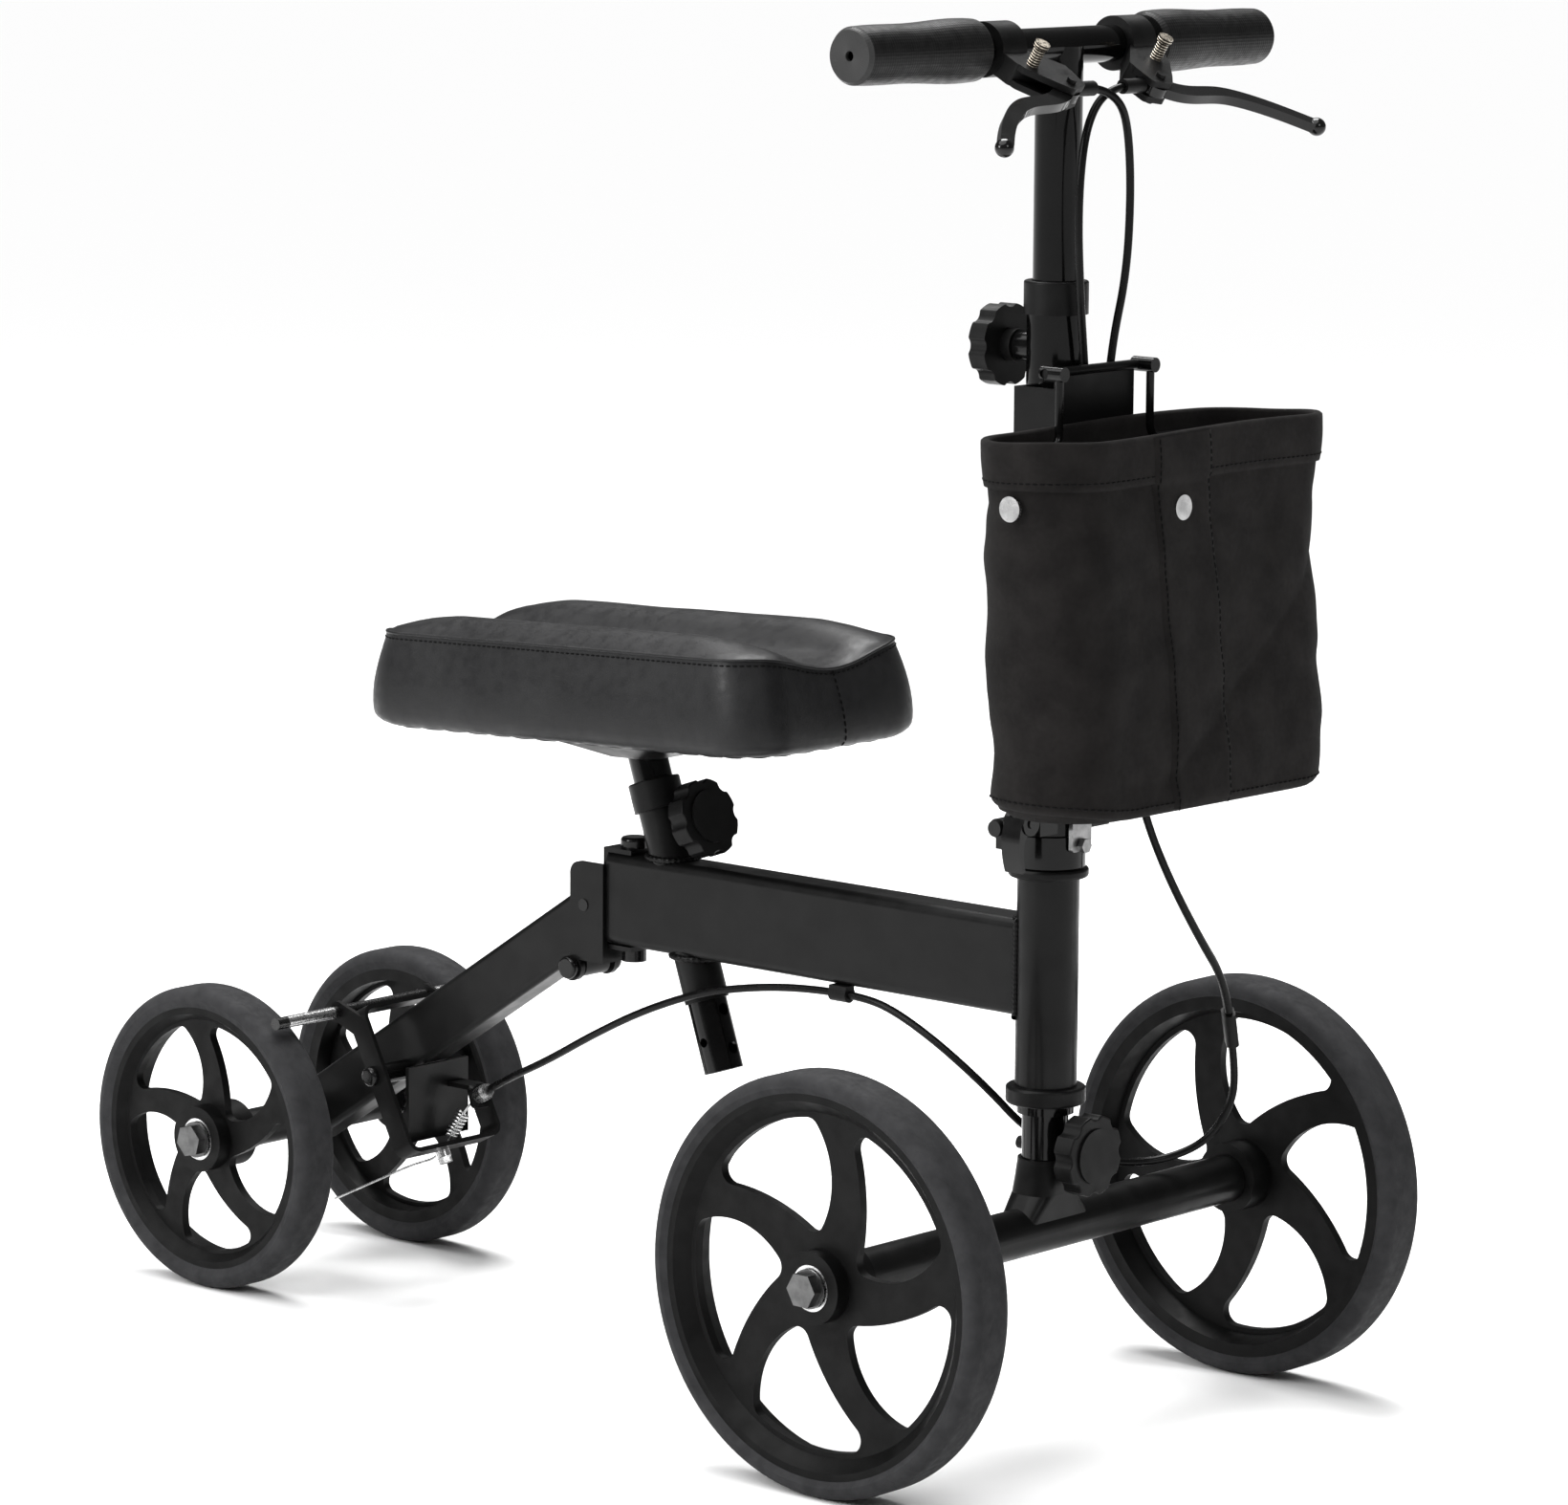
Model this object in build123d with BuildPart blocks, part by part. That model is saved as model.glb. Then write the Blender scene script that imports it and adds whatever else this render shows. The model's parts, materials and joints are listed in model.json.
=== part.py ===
from build123d import *
import os
from math import cos, radians, sin, tan

# Folding knee scooter. +X points forward, +Y to the rider's left, +Z up, and the
# floor is Z = 0. The origin is under the middle of the bounding box.

# ---- driving dimensions, in millimetres and degrees ----
wheelbase = 638
front_radius = 127
front_width = 35
front_rim = 115.4
front_track = 400
rear_radius = 101.6
rear_width = 31
rear_rim = 88
rear_track = 184
handlebar_height = 845
handlebar_length = 380
bar_radius = 11.1
stem_radius = 14.3
sleeve_radius = 17.5
sleeve_top = 690
fold_height = 372
head_tube_top = 345
head_tube_bottom = 216
head_tube_radius = 19
beam_top = 318
beam_height = 60
beam_width = 30
beam_rear_x = -47
seat_lean = 19
seat_post_radius = 12.7
seat_tube_radius = 14.3
axle_tube_radius = 15
rear_axle_radius = 12.7
arm_depth = 37
arm_width = 27
cable_radius = 2.5
running = 0.05
lever_droop = 32
knob_radius = 25
wall = 2

column_x = (wheelbase - front_radius + rear_radius) / 2
rear_axle_x = column_x - wheelbase
hub_inner = 18
hub_outer = 16.5
bolt_radius = 6


def save(piece, name):
    """Label one finished sub-part and write its STEP file."""
    piece.label = name
    export_step(piece, f"parts/{name}.step")


def rod(plane, radius, length, mode=Mode.ADD):
    """A round bar in the active part, from the plane along its normal."""
    with BuildSketch(plane) as disc:
        Circle(radius)
    extrude(disc.sketch, amount=length, mode=mode)


def pipe(plane, outer, inner, length):
    """A round tube in the active part, from the plane along its normal."""
    with BuildSketch(plane) as ring:
        Circle(outer)
        Circle(inner, mode=Mode.SUBTRACT)
    extrude(ring.sketch, amount=length)


def hexagon(plane, across_flats, length):
    """A bolt head or nut in the active part, from the plane along its normal."""
    with BuildSketch(plane) as outline:
        RegularPolygon(across_flats / 2, 6, major_radius=False)
    extrude(outline.sketch, amount=length)


def block(low, high, mode=Mode.ADD):
    """A box in the active part between two opposite corners."""
    size = [b - a for a, b in zip(low, high)]
    middle = [(a + b) / 2 for a, b in zip(low, high)]
    with Locations(tuple(middle)):
        Box(*size, mode=mode)


def across(x, y, z, side=1):
    """A plane at a point, facing +Y (side 1) or -Y (side -1)."""
    return Plane(origin=(x, y, z), x_dir=(1, 0, 0), z_dir=(0, side, 0))


def upward(x, y, z):
    """A plane at a point, facing +Z."""
    return Plane(origin=(x, y, z), x_dir=(1, 0, 0), z_dir=(0, 0, 1))


def forward(x, y, z, side=1):
    """A plane at a point, facing +X (side 1) or -X (side -1)."""
    return Plane(origin=(x, y, z), x_dir=(0, 1, 0), z_dir=(side, 0, 0))


def polar(radius, angle):
    """A point of a sketch from its radius and its angle in degrees."""
    return (radius * cos(radians(angle)), radius * sin(radians(angle)))


os.makedirs("parts", exist_ok=True)

# ---- wheels ----


def wheel_plane(side, x, z, track, spin):
    """The centre plane of a wheel, facing outboard, turned by spin degrees."""
    turn = radians(spin)
    return Plane(
        origin=(x, side * track / 2, z),
        x_dir=(-side * cos(turn), 0, sin(turn)),
        z_dir=(0, side, 0),
    )


def profile_plane(hub):
    """The plane through a wheel's axis that its revolved profiles are drawn on."""
    return Plane(origin=hub.origin, x_dir=hub.x_dir, z_dir=-hub.y_dir)


def make_tyre(hub, radius, width, rim):
    """A solid rubber tyre that sits between the rim's flanges."""
    half = width / 2
    foot, face = half - 5.5, half - 3
    bed = rim - 5
    shoulder = 8
    with BuildPart() as tyre:
        with BuildSketch(profile_plane(hub)) as section:
            with BuildLine():
                Line((bed, -foot), (rim, -foot))
                Line((rim, -foot), (rim, -face))
                Line((rim, -face), (radius - shoulder, -half))
                RadiusArc((radius - shoulder, -half), (radius, shoulder - half), -shoulder)
                Line((radius, shoulder - half), (radius, half - shoulder))
                RadiusArc((radius, half - shoulder), (radius - shoulder, half), -shoulder)
                Line((radius - shoulder, half), (rim, face))
                Line((rim, face), (rim, foot))
                Line((rim, foot), (bed, foot))
                Line((bed, foot), (bed, -foot))
            make_face()
        revolve(section.sketch, axis=Axis(hub.origin, hub.z_dir))
    return tyre.part


def spoke_window(scale):
    """One swirled opening between two spokes, drawn about the wheel's centre."""
    rim_start, rim_end = polar(100 * scale, 94.4), polar(100 * scale, 150.4)
    hub_corner = polar(28.6 * scale, 98.7)
    with BuildSketch() as window:
        with BuildLine():
            ThreePointArc(rim_start, polar(100 * scale, 122), rim_end)
            ThreePointArc(rim_end, polar(62.7 * scale, 133.8), hub_corner)
            ThreePointArc(hub_corner, polar(69 * scale, 84.2), rim_start)
        make_face()
        fillet(window.vertices(), radius=8.5 * scale)
    return window.sketch


def make_wheel(hub, width, rim):
    """A moulded wheel: rim with flanges, swirled web and a hub for two bearings."""
    foot, face = width / 2 - 5.5, width / 2 - 3
    bed = rim - 5
    scale = rim / front_rim
    inner = rim - 12 * scale
    web = 6
    with BuildPart() as wheel:
        with BuildSketch(profile_plane(hub)) as section:
            with BuildLine():
                Polyline(
                    (inner, 0), (inner, web), (rim - 4.5, face), (rim, face), (rim, foot),
                    (bed, foot), (bed, -foot), (rim, -foot), (rim, -face),
                    (bed - 3, -face), close=True,
                )
            make_face()
        revolve(section.sketch, axis=Axis(hub.origin, hub.z_dir))
        with BuildSketch(hub) as disc:
            Circle(inner + 1)
            with PolarLocations(0, 5):
                add(spoke_window(scale), mode=Mode.SUBTRACT)
        extrude(disc.sketch, amount=web)
        rod(hub.offset(-hub_inner), 22, hub_inner + hub_outer)
        rod(hub.offset(-hub_inner), bearing_radius + running, hub_inner + hub_outer, Mode.SUBTRACT)
    return wheel.part


def bearing_pair(hub):
    """Two ball bearings of one hub, in the active part."""
    for start in (-hub_inner + 1, hub_outer - 8.5):
        pipe(hub.offset(start), bearing_radius, bolt_radius, 8)


def axle_bolt(hub):
    """A hexagon bolt with its washer, screwed in from outboard, in the active part."""
    rod(hub.offset(-45), bolt_radius, 45 + hub_outer + 0.5)
    rod(hub.offset(hub_outer + 0.5), 12, 1.5)
    hexagon(hub.offset(hub_outer + 2), 19, 6)


bearing_radius = 14
wheels = {
    "front_right": wheel_plane(-1, column_x, front_radius, front_track, 0),
    "front_left": wheel_plane(1, column_x, front_radius, front_track, -11),
    "rear_right": wheel_plane(-1, rear_axle_x, rear_radius, rear_track, 14),
    "rear_left": wheel_plane(1, rear_axle_x, rear_radius, rear_track, 2),
}
for name, hub in wheels.items():
    radius, width, rim = (rear_radius, rear_width, rear_rim)
    if "front" in name:
        radius, width, rim = (front_radius, front_width, front_rim)
    save(make_tyre(hub, radius, width, rim), f"{name}_tyre")
    save(make_wheel(hub, width, rim), f"{name}_wheel")

for end in ("front", "rear"):
    hubs = [hub for name, hub in wheels.items() if end in name]
    with BuildPart() as bearings:
        for hub in hubs:
            bearing_pair(hub)
    save(bearings.part, f"{end}_wheel_bearings")
    with BuildPart() as bolts:
        for hub in hubs:
            axle_bolt(hub)
    save(bolts.part, f"{end}_axle_bolts")


def make_axle(x, z, half_length, radius):
    """An axle tube with solid ends that take the wheel bolts."""
    with BuildPart() as axle:
        rod(across(x, -half_length, z), radius, 2 * half_length)
        rod(across(x, 32 - half_length, z), radius - 2.5, 2 * half_length - 64, Mode.SUBTRACT)
        for side in (-1, 1):
            rod(across(x, side * half_length, z, -side), bolt_radius, 32, Mode.SUBTRACT)
    return axle.part


front_axle_half = front_track / 2 - hub_inner - 0.6
rear_axle_half = rear_track / 2 - hub_inner - 0.6
save(make_axle(column_x, front_radius, front_axle_half, axle_tube_radius), "front_axle_tube")
save(make_axle(rear_axle_x, rear_radius, rear_axle_half, rear_axle_radius), "rear_axle_tube")

# ---- main frame ----
seat_up = Vector(-sin(radians(seat_lean)), 0, cos(radians(seat_lean)))
seat_out = Vector(cos(radians(seat_lean)), 0, sin(radians(seat_lean)))
seat_base = Vector(7.3, 0, beam_top - beam_height / 2)
sleeve_low, sleeve_high = -62, 75
post_low, post_high = -108, 112


def on_seat_post(height, reach=0):
    """A plane across the leaning seat post, at a height along it."""
    return Plane(origin=seat_base + seat_up * height + seat_out * reach, x_dir=(0, 1, 0), z_dir=seat_up)


with BuildPart() as main_beam:
    with BuildSketch(Plane(origin=(beam_rear_x, 0, beam_top - beam_height / 2), x_dir=(0, 1, 0), z_dir=(1, 0, 0))):
        RectangleRounded(beam_width, beam_height, 6)
        offset(amount=-wall, mode=Mode.SUBTRACT)
    extrude(amount=column_x - beam_rear_x)
    rod(upward(column_x, 0, 0), head_tube_radius, beam_top + 50, Mode.SUBTRACT)
    rod(on_seat_post(-150), seat_tube_radius, 300, Mode.SUBTRACT)
    rod(upward(beam_rear_x + 11, 0, 0), 4, beam_top + 50, Mode.SUBTRACT)
save(main_beam.part, "main_beam")

with BuildPart() as head_tube:
    pipe(upward(column_x, 0, head_tube_bottom), head_tube_radius, 17, head_tube_top - head_tube_bottom)
save(head_tube.part, "head_tube")

with BuildPart() as headset_cups:
    for base, flange in ((head_tube_top, 6), (head_tube_bottom - 11, 11)):
        pipe(upward(column_x, 0, base), 24.5, stem_radius + running, flange)
    pipe(upward(column_x, 0, head_tube_top - 12), 17, stem_radius + running, 12)
    pipe(upward(column_x, 0, head_tube_bottom), 17, stem_radius + running, 12)
    fillet(headset_cups.edges().filter_by(GeomType.CIRCLE).filter_by(lambda e: e.radius > 24), 2)
save(headset_cups.part, "headset_cups")

with BuildPart() as seat_sleeve:
    pipe(on_seat_post(sleeve_low), seat_tube_radius, seat_post_radius + running, sleeve_high - sleeve_low)
    rod(Plane(origin=seat_base + seat_up * 50 + seat_out * 14, x_dir=(0, 1, 0), z_dir=seat_out), 9, 6)
    rod(Plane(origin=seat_base + seat_up * 50, x_dir=(0, 1, 0), z_dir=seat_out), 4 + running, 30, Mode.SUBTRACT)
    rod(on_seat_post(sleeve_low), seat_post_radius + running, 200, Mode.SUBTRACT)
save(seat_sleeve.part, "seat_sleeve")

with BuildPart() as seat_collar:
    pipe(on_seat_post(64), 16.8, seat_tube_radius, 11)
    pipe(on_seat_post(sleeve_high), 16.8, seat_post_radius + running, 8)
    fillet(seat_collar.edges().filter_by(GeomType.CIRCLE).sort_by(Axis.Z)[-2:], 1.2)
save(seat_collar.part, "seat_collar")

fold_x, fold_z = -75, 240
plate_gap = 14
plate_outer = 18
bracket_low, bracket_high = 245.5, 310
with BuildPart() as rear_bracket:
    for side in (-1, 1):
        with BuildSketch(across(0, side * plate_gap, 0, side)) as cheek:
            with BuildLine():
                Polyline(
                    (beam_rear_x, -side * bracket_low), (beam_rear_x, -side * bracket_high),
                    (-76, -side * bracket_high), (-76, -side * bracket_low), close=True,
                )
            make_face()
            fillet(cheek.vertices().group_by(Axis.X)[0].sort_by(Axis.Y)[0 if side > 0 else -1], 8)
            with Locations((fold_x, -side * fold_z)):
                Circle(9)
        extrude(cheek.sketch, amount=plate_outer - plate_gap)
    block((beam_rear_x - 4, -plate_gap, bracket_low), (beam_rear_x, plate_gap, bracket_high))
    for low, high in ((beam_top, beam_top + 3), (beam_top - beam_height - 3, beam_top - beam_height)):
        block((beam_rear_x - 4, -13, low), (beam_rear_x + 20, 13, high))
    block((beam_rear_x - 4, -13, bracket_high - 1), (beam_rear_x, 13, beam_top + 1))
    rod(upward(beam_rear_x + 11, 0, 0), 4, beam_top + 50, Mode.SUBTRACT)
    rod(across(fold_x, -30, fold_z), 4, 60, Mode.SUBTRACT)
    rod(across(-64, -30, 282), 4, 60, Mode.SUBTRACT)
save(rear_bracket.part, "rear_bracket")

with BuildPart() as bracket_bolts:
    rod(upward(beam_rear_x + 11, 0, beam_top - beam_height - 8), 4, beam_height + 14)
    rod(upward(beam_rear_x + 11, 0, beam_top + 3), 9, 7)
    rod(upward(beam_rear_x + 11, 0, beam_top - beam_height - 11), 8, 8)
    rod(across(fold_x, -20, fold_z), 4, 40)
    for side in (-1, 1):
        rod(across(fold_x, side * plate_outer, fold_z, side), 7.5, 5)
        rod(across(-64, side * (plate_gap + 0.3), 282, side), 4, plate_outer - plate_gap + 0.4)
    fillet(bracket_bolts.edges().filter_by(GeomType.CIRCLE).group_by(Axis.Z)[-1], 2.5)
    fillet(bracket_bolts.edges().filter_by(GeomType.CIRCLE).group_by(Axis.Y)[0], 2)
    fillet(bracket_bolts.edges().filter_by(GeomType.CIRCLE).group_by(Axis.Y)[-1], 2)
save(bracket_bolts.part, "bracket_bolts")

clip_x, clip_y = column_x - 155, -12
clip_z = beam_top - beam_height - 5.5
with BuildPart() as cable_clip:
    with BuildSketch(forward(clip_x - 7, clip_y, clip_z)):
        Circle(5)
        with Locations((0, 3)):
            Rectangle(8, 5)
        Circle(cable_radius, mode=Mode.SUBTRACT)
    extrude(amount=14)
    block((clip_x - 10, -16, clip_z + 5.5), (clip_x + 10, 0, clip_z + 20), Mode.SUBTRACT)
save(cable_clip.part, "cable_clip")

# ---- steering fork ----
with BuildPart() as steerer:
    pipe(upward(column_x, 0, 150), stem_radius, 12, fold_height - 5 - 150)
    rod(upward(column_x, 0, 199), 17.5, head_tube_bottom - 11 - 0.5 - 199)
    rod(upward(column_x, 0, 150), 12, 220, Mode.SUBTRACT)
    rod(forward(column_x - 40, 0, 177), 4 + running, 80, Mode.SUBTRACT)
save(steerer.part, "steerer")

foot_top = 171
with BuildPart() as steerer_foot:
    with BuildSketch(upward(column_x, 0, front_radius + 6)) as wide:
        RectangleRounded(26, 64, 8)
    with BuildSketch(upward(column_x, 0, 150)) as middle:
        RectangleRounded(31, 40, 12)
    with BuildSketch(upward(column_x, 0, foot_top)) as narrow:
        Circle(16.6)
    loft([wide.sketch, middle.sketch])
    loft([middle.sketch, narrow.sketch])
    rod(upward(column_x, 0, 150), stem_radius, 40, Mode.SUBTRACT)
    rod(across(column_x, -60, front_radius), axle_tube_radius, 120, Mode.SUBTRACT)
save(steerer_foot.part, "steerer_foot")

with BuildPart() as clamp_base:
    pipe(upward(column_x, 0, head_tube_top + 7), 22.5, stem_radius, fold_height - 0.5 - head_tube_top - 7)
    block((column_x - 36, -7, 358), (column_x - 20, 7, fold_height - 0.5))
    rod(across(column_x - 30, -7, fold_height), 6, 14)
    rod(across(column_x - 30, -10, fold_height), 3 + running, 20, Mode.SUBTRACT)
    rod(upward(column_x, 0, 350), stem_radius, 30, Mode.SUBTRACT)
    rod(forward(column_x + 15, 0, 366.5), 2.5, 20, Mode.SUBTRACT)
save(clamp_base.part, "clamp_base")

with BuildPart() as latch_plate:
    block((column_x + 22.7, -9, 363), (column_x + 25.7, 9, 383))
    fillet(latch_plate.edges().filter_by(Axis.X), 2)
    rod(forward(column_x + 15, 0, 366.5), 2.5, 8)
    hexagon(forward(column_x + 25.7, 0, 366.5), 8, 4)
save(latch_plate.part, "latch_plate")


def knob_outline(radius, lobes):
    """A scalloped grip outline."""
    with BuildSketch() as outline:
        Circle(radius)
        with PolarLocations(radius + 3.5, lobes):
            Circle(6, mode=Mode.SUBTRACT)
        fillet(outline.vertices(), 2)
    return outline.sketch


def make_knob(base, stud_length):
    """A scalloped clamp knob whose face is 22 mm out, with its threaded stud."""
    with BuildPart() as knob:
        with BuildSketch(base.offset(7)) as grip:
            add(knob_outline(knob_radius, 8))
        extrude(grip.sketch, amount=13)
        fillet(knob.faces().sort_by(Axis(base.origin, base.z_dir))[-1].edges(), 1)
        rod(base, 10, 8)
        rod(base.offset(20), 17, 1.5)
        rod(base.offset(-stud_length), 4, stud_length + 4)
    return knob.part


axle_knob_base = forward(column_x + 20, 0, 177)
save(make_knob(axle_knob_base, 40), "axle_knob")
column_knob_base = forward(column_x - 28, 0, 665, -1)
save(make_knob(column_knob_base, 13), "column_knob")
seat_knob_base = Plane(origin=seat_base + seat_up * 50 + seat_out * 21, x_dir=(0, 1, 0), z_dir=seat_out)
save(make_knob(seat_knob_base, 7.5), "seat_knob")

# ---- folding column ----
head_top = 396
with BuildPart() as column_sleeve:
    pipe(upward(column_x, 0, head_top), sleeve_radius, stem_radius + running, sleeve_top - head_top)
    rod(forward(column_x - 15, 0, 665, -1), 9, 12)
    rod(forward(column_x - 10, 0, 665, -1), 4 + running, 30, Mode.SUBTRACT)
    rod(upward(column_x, 0, head_top), stem_radius + running, 300, Mode.SUBTRACT)
save(column_sleeve.part, "column_sleeve")

with BuildPart() as column_collar:
    pipe(upward(column_x, 0, 686), 19.5, sleeve_radius, 4)
    pipe(upward(column_x, 0, sleeve_top), 19.5, stem_radius + running, 16)
    fillet(column_collar.edges().filter_by(GeomType.CIRCLE).sort_by(Axis.Z)[-2:], 1.5)
save(column_collar.part, "column_collar")

skewer_z = 384
with BuildPart() as clamp_head:
    rod(upward(column_x, 0, fold_height + 0.5), 22, head_top - fold_height - 0.5)
    for side in (-1, 1):
        rod(across(column_x - 30, side * 7.5, fold_height, side), 6, 6)
        low, high = sorted((side * 7.5, side * 13.5))
        block((column_x - 30, low, fold_height + 0.5), (column_x - 10, high, fold_height + 6))
        low, high = sorted((side * 16, side * 33))
        block((column_x + 4, low, skewer_z - 9), (column_x + 20, high, skewer_z + 9))
    rod(across(column_x - 30, -20, fold_height), 3, 40, Mode.SUBTRACT)
    rod(across(column_x + 12, -40, skewer_z), 3, 80, Mode.SUBTRACT)
    rod(upward(column_x, 0, fold_height), 13, 60, Mode.SUBTRACT)
save(clamp_head.part, "clamp_head")

lever_pivot_y = -41
with BuildPart() as clamp_pins:
    rod(across(column_x - 30, -15, fold_height), 3, 30)
    for side in (-1, 1):
        rod(across(column_x - 30, side * 13.5, fold_height, side), 5, 2.5)
    rod(across(column_x + 12, lever_pivot_y, skewer_z), 3, 79)
    rod(across(column_x + 12, 33.2, skewer_z), 8, 8)
    rod(forward(column_x + 8.3, lever_pivot_y, skewer_z), 6, 7.4)
    rod(forward(column_x + 3, lever_pivot_y, skewer_z), 3, 18)
save(clamp_pins.part, "clamp_pins")

with BuildPart() as quick_lever:
    rod(forward(column_x + 4, lever_pivot_y, skewer_z), 7.5, 16)
    with BuildSketch(forward(column_x + 5, 0, 0)):
        with BuildLine():
            Spline((-48.3, 385.5), (-50.6, 378), (-51, 368), (-47.5, 354))
            Line((-47.5, 354), (-45, 355))
            Spline((-45, 355), (-47, 366), (-45.5, 374), (-41, 378.5))
            Line((-41, 378.5), (-48.3, 385.5))
        make_face()
    extrude(amount=14)
    rod(forward(column_x + 8, lever_pivot_y, skewer_z), 6.4, 8, Mode.SUBTRACT)
    block((column_x + 8, lever_pivot_y, 370), (column_x + 16, -30, 394), Mode.SUBTRACT)
    block((column_x + 8, -47.5, skewer_z), (column_x + 16, -30, 394), Mode.SUBTRACT)
    rod(forward(column_x, lever_pivot_y, skewer_z), 3 + running, 30, Mode.SUBTRACT)
save(quick_lever.part, "quick_lever")

plate_x = column_x + 28.5
hook_z = 655
with BuildPart() as bag_bracket:
    block((plate_x, -36, 592), (plate_x + 3, 36, hook_z))
    for side in (-1, 1):
        low, high = sorted((side * 33, side * 36))
        block((column_x - 2, low, 600), (plate_x, high, 645))
        low, high = sorted((side * sleeve_radius, side * 36))
        block((column_x - 2, low, 600), (column_x + 2, high, 645))
    rod(across(plate_x + 1.5, -46, hook_z), 3, 92)
save(bag_bracket.part, "bag_bracket")

# ---- bag and its wire frame ----
bag_back = column_x + 33
bag_depth, bag_length = 86, 264
bag_bottom, bag_top = 402, 622
bag_x = bag_back + bag_depth / 2
fabric = 2.5
with BuildPart() as bag:
    with BuildSketch(upward(bag_x, 0, bag_bottom)) as floor_outline:
        RectangleRounded(bag_depth - 4, bag_length - 12, 36)
    with BuildSketch(upward(bag_x, 0, bag_top)) as rim_outline:
        RectangleRounded(bag_depth, bag_length, 38)
    loft([floor_outline.sketch, rim_outline.sketch])
    with BuildSketch(upward(bag_x, 0, bag_bottom + fabric)) as floor_inside:
        RectangleRounded(bag_depth - 4 - 2 * fabric, bag_length - 12 - 2 * fabric, 34)
    with BuildSketch(upward(bag_x, 0, bag_top + 1)) as rim_inside:
        RectangleRounded(bag_depth - 2 * fabric, bag_length - 2 * fabric, 36)
    loft([floor_inside.sketch, rim_inside.sketch], mode=Mode.SUBTRACT)
save(bag.part, "bag")

wire_radius = 2.5
wire_z = 612
inset = fabric + wire_radius + 0.4
with BuildPart() as bag_wire:
    back, front, end = bag_back + inset, bag_back + bag_depth - inset, bag_length / 2 - inset
    with BuildLine() as bent_wire:
        FilletPolyline(
            (back, 43, hook_z), (back, 43, wire_z), (back, end, wire_z), (front, end, wire_z),
            (front, -end, wire_z), (back, -end, wire_z), (back, -43, wire_z), (back, -43, hook_z),
            radius=[8, 30, 30, 30, 30, 8],
        )
    wire_path = bent_wire.wire()
    with BuildSketch(Plane(origin=wire_path @ 0, z_dir=wire_path % 0)) as wire_section:
        Circle(wire_radius)
    sweep(wire_section.sketch, path=wire_path)
    for side in (-1, 1):
        rod(forward(back + wire_radius + 1.5, side * 43, hook_z, -1), wire_radius + 2, 16.5)
        rod(across(plate_x + 1.5, side * 36.5, hook_z, side), 3 + running, 20, Mode.SUBTRACT)
    front_x, end_y = bag_back + bag_depth - 0.25, bag_length / 2 - 0.75
    rod(forward(front_x, -28, 582), 7.5, 2.4)
    rod(across(bag_x, -end_y, 586, -1), 7.5, 2.4)
save(bag_wire.part, "bag_wire")

# ---- handlebar stem ----
stem_bottom = 500
half_bar = handlebar_length / 2
with BuildPart() as handlebar:
    pipe(upward(column_x, 0, stem_bottom), stem_radius, 12, handlebar_height - stem_bottom)
    for step in range(9):
        rod(forward(column_x, 0, 525 + 25.4 * step, -1), 4, 20, Mode.SUBTRACT)
    rod(across(column_x, 3 - half_bar, handlebar_height), bar_radius, 2 * half_bar - 6)
    rod(across(column_x, 3 - half_bar, handlebar_height), 9.1, 2 * half_bar - 6, Mode.SUBTRACT)
save(handlebar.part, "handlebar")

with BuildPart() as grips:
    for side in (-1, 1):
        with BuildSketch(Plane(origin=(column_x, 0, handlebar_height), x_dir=(0, side, 0), z_dir=(side, 0, 0))) as grip:
            with BuildLine():
                Line((80, bar_radius), (half_bar - 3, bar_radius))
                Line((half_bar - 3, bar_radius), (half_bar - 3, 3))
                Line((half_bar - 3, 3), (half_bar, 3))
                Line((half_bar, 3), (half_bar, 15))
                Line((half_bar, 15), (half_bar - 3, 17))
                Spline((half_bar - 3, 17), (half_bar - 20, 17.5), (140, 17.4), (104, 19), (83, 18.5))
                Line((83, 18.5), (80, 16))
                Line((80, 16), (80, bar_radius))
            make_face()
        revolve(grip.sketch, axis=Axis((column_x, 0, handlebar_height), (0, 1, 0)))
save(grips.part, "grips")

# The brake levers lie in a plane through the bar that droops forward. Points in it
# are given by reach, away from the bar, and by distance from the middle of the bar.
reach_dir = Vector(cos(radians(lever_droop)), 0, -sin(radians(lever_droop)))
lever_axis = Vector(sin(radians(lever_droop)), 0, cos(radians(lever_droop)))
bar_centre = Vector(column_x, 0, handlebar_height)
pivot_reach, pivot_y = 46, 42


def lever_plane(side, height):
    """The lever plane of one side, raised by height, with x = reach and y = outward."""
    normal = lever_axis * -side
    return Plane(origin=bar_centre + lever_axis * height, x_dir=reach_dir, z_dir=normal)


def in_lever_plane(side, reach, outward, height=0):
    """The point at a reach from the bar and a distance outward from its middle."""
    return bar_centre + reach_dir * reach + Vector(0, side * outward, 0) + lever_axis * height


def slab(side, low, high, points, corner=3):
    """A flat plate parallel to the lever plane, in the active part."""
    start = lever_plane(side, high if side > 0 else low)
    with BuildSketch(start) as outline:
        with BuildLine():
            local = [(x, -y) for x, y in points]
            Polyline(*local, close=True)
        make_face()
        fillet(outline.vertices(), corner)
    extrude(outline.sketch, amount=high - low)


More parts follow.
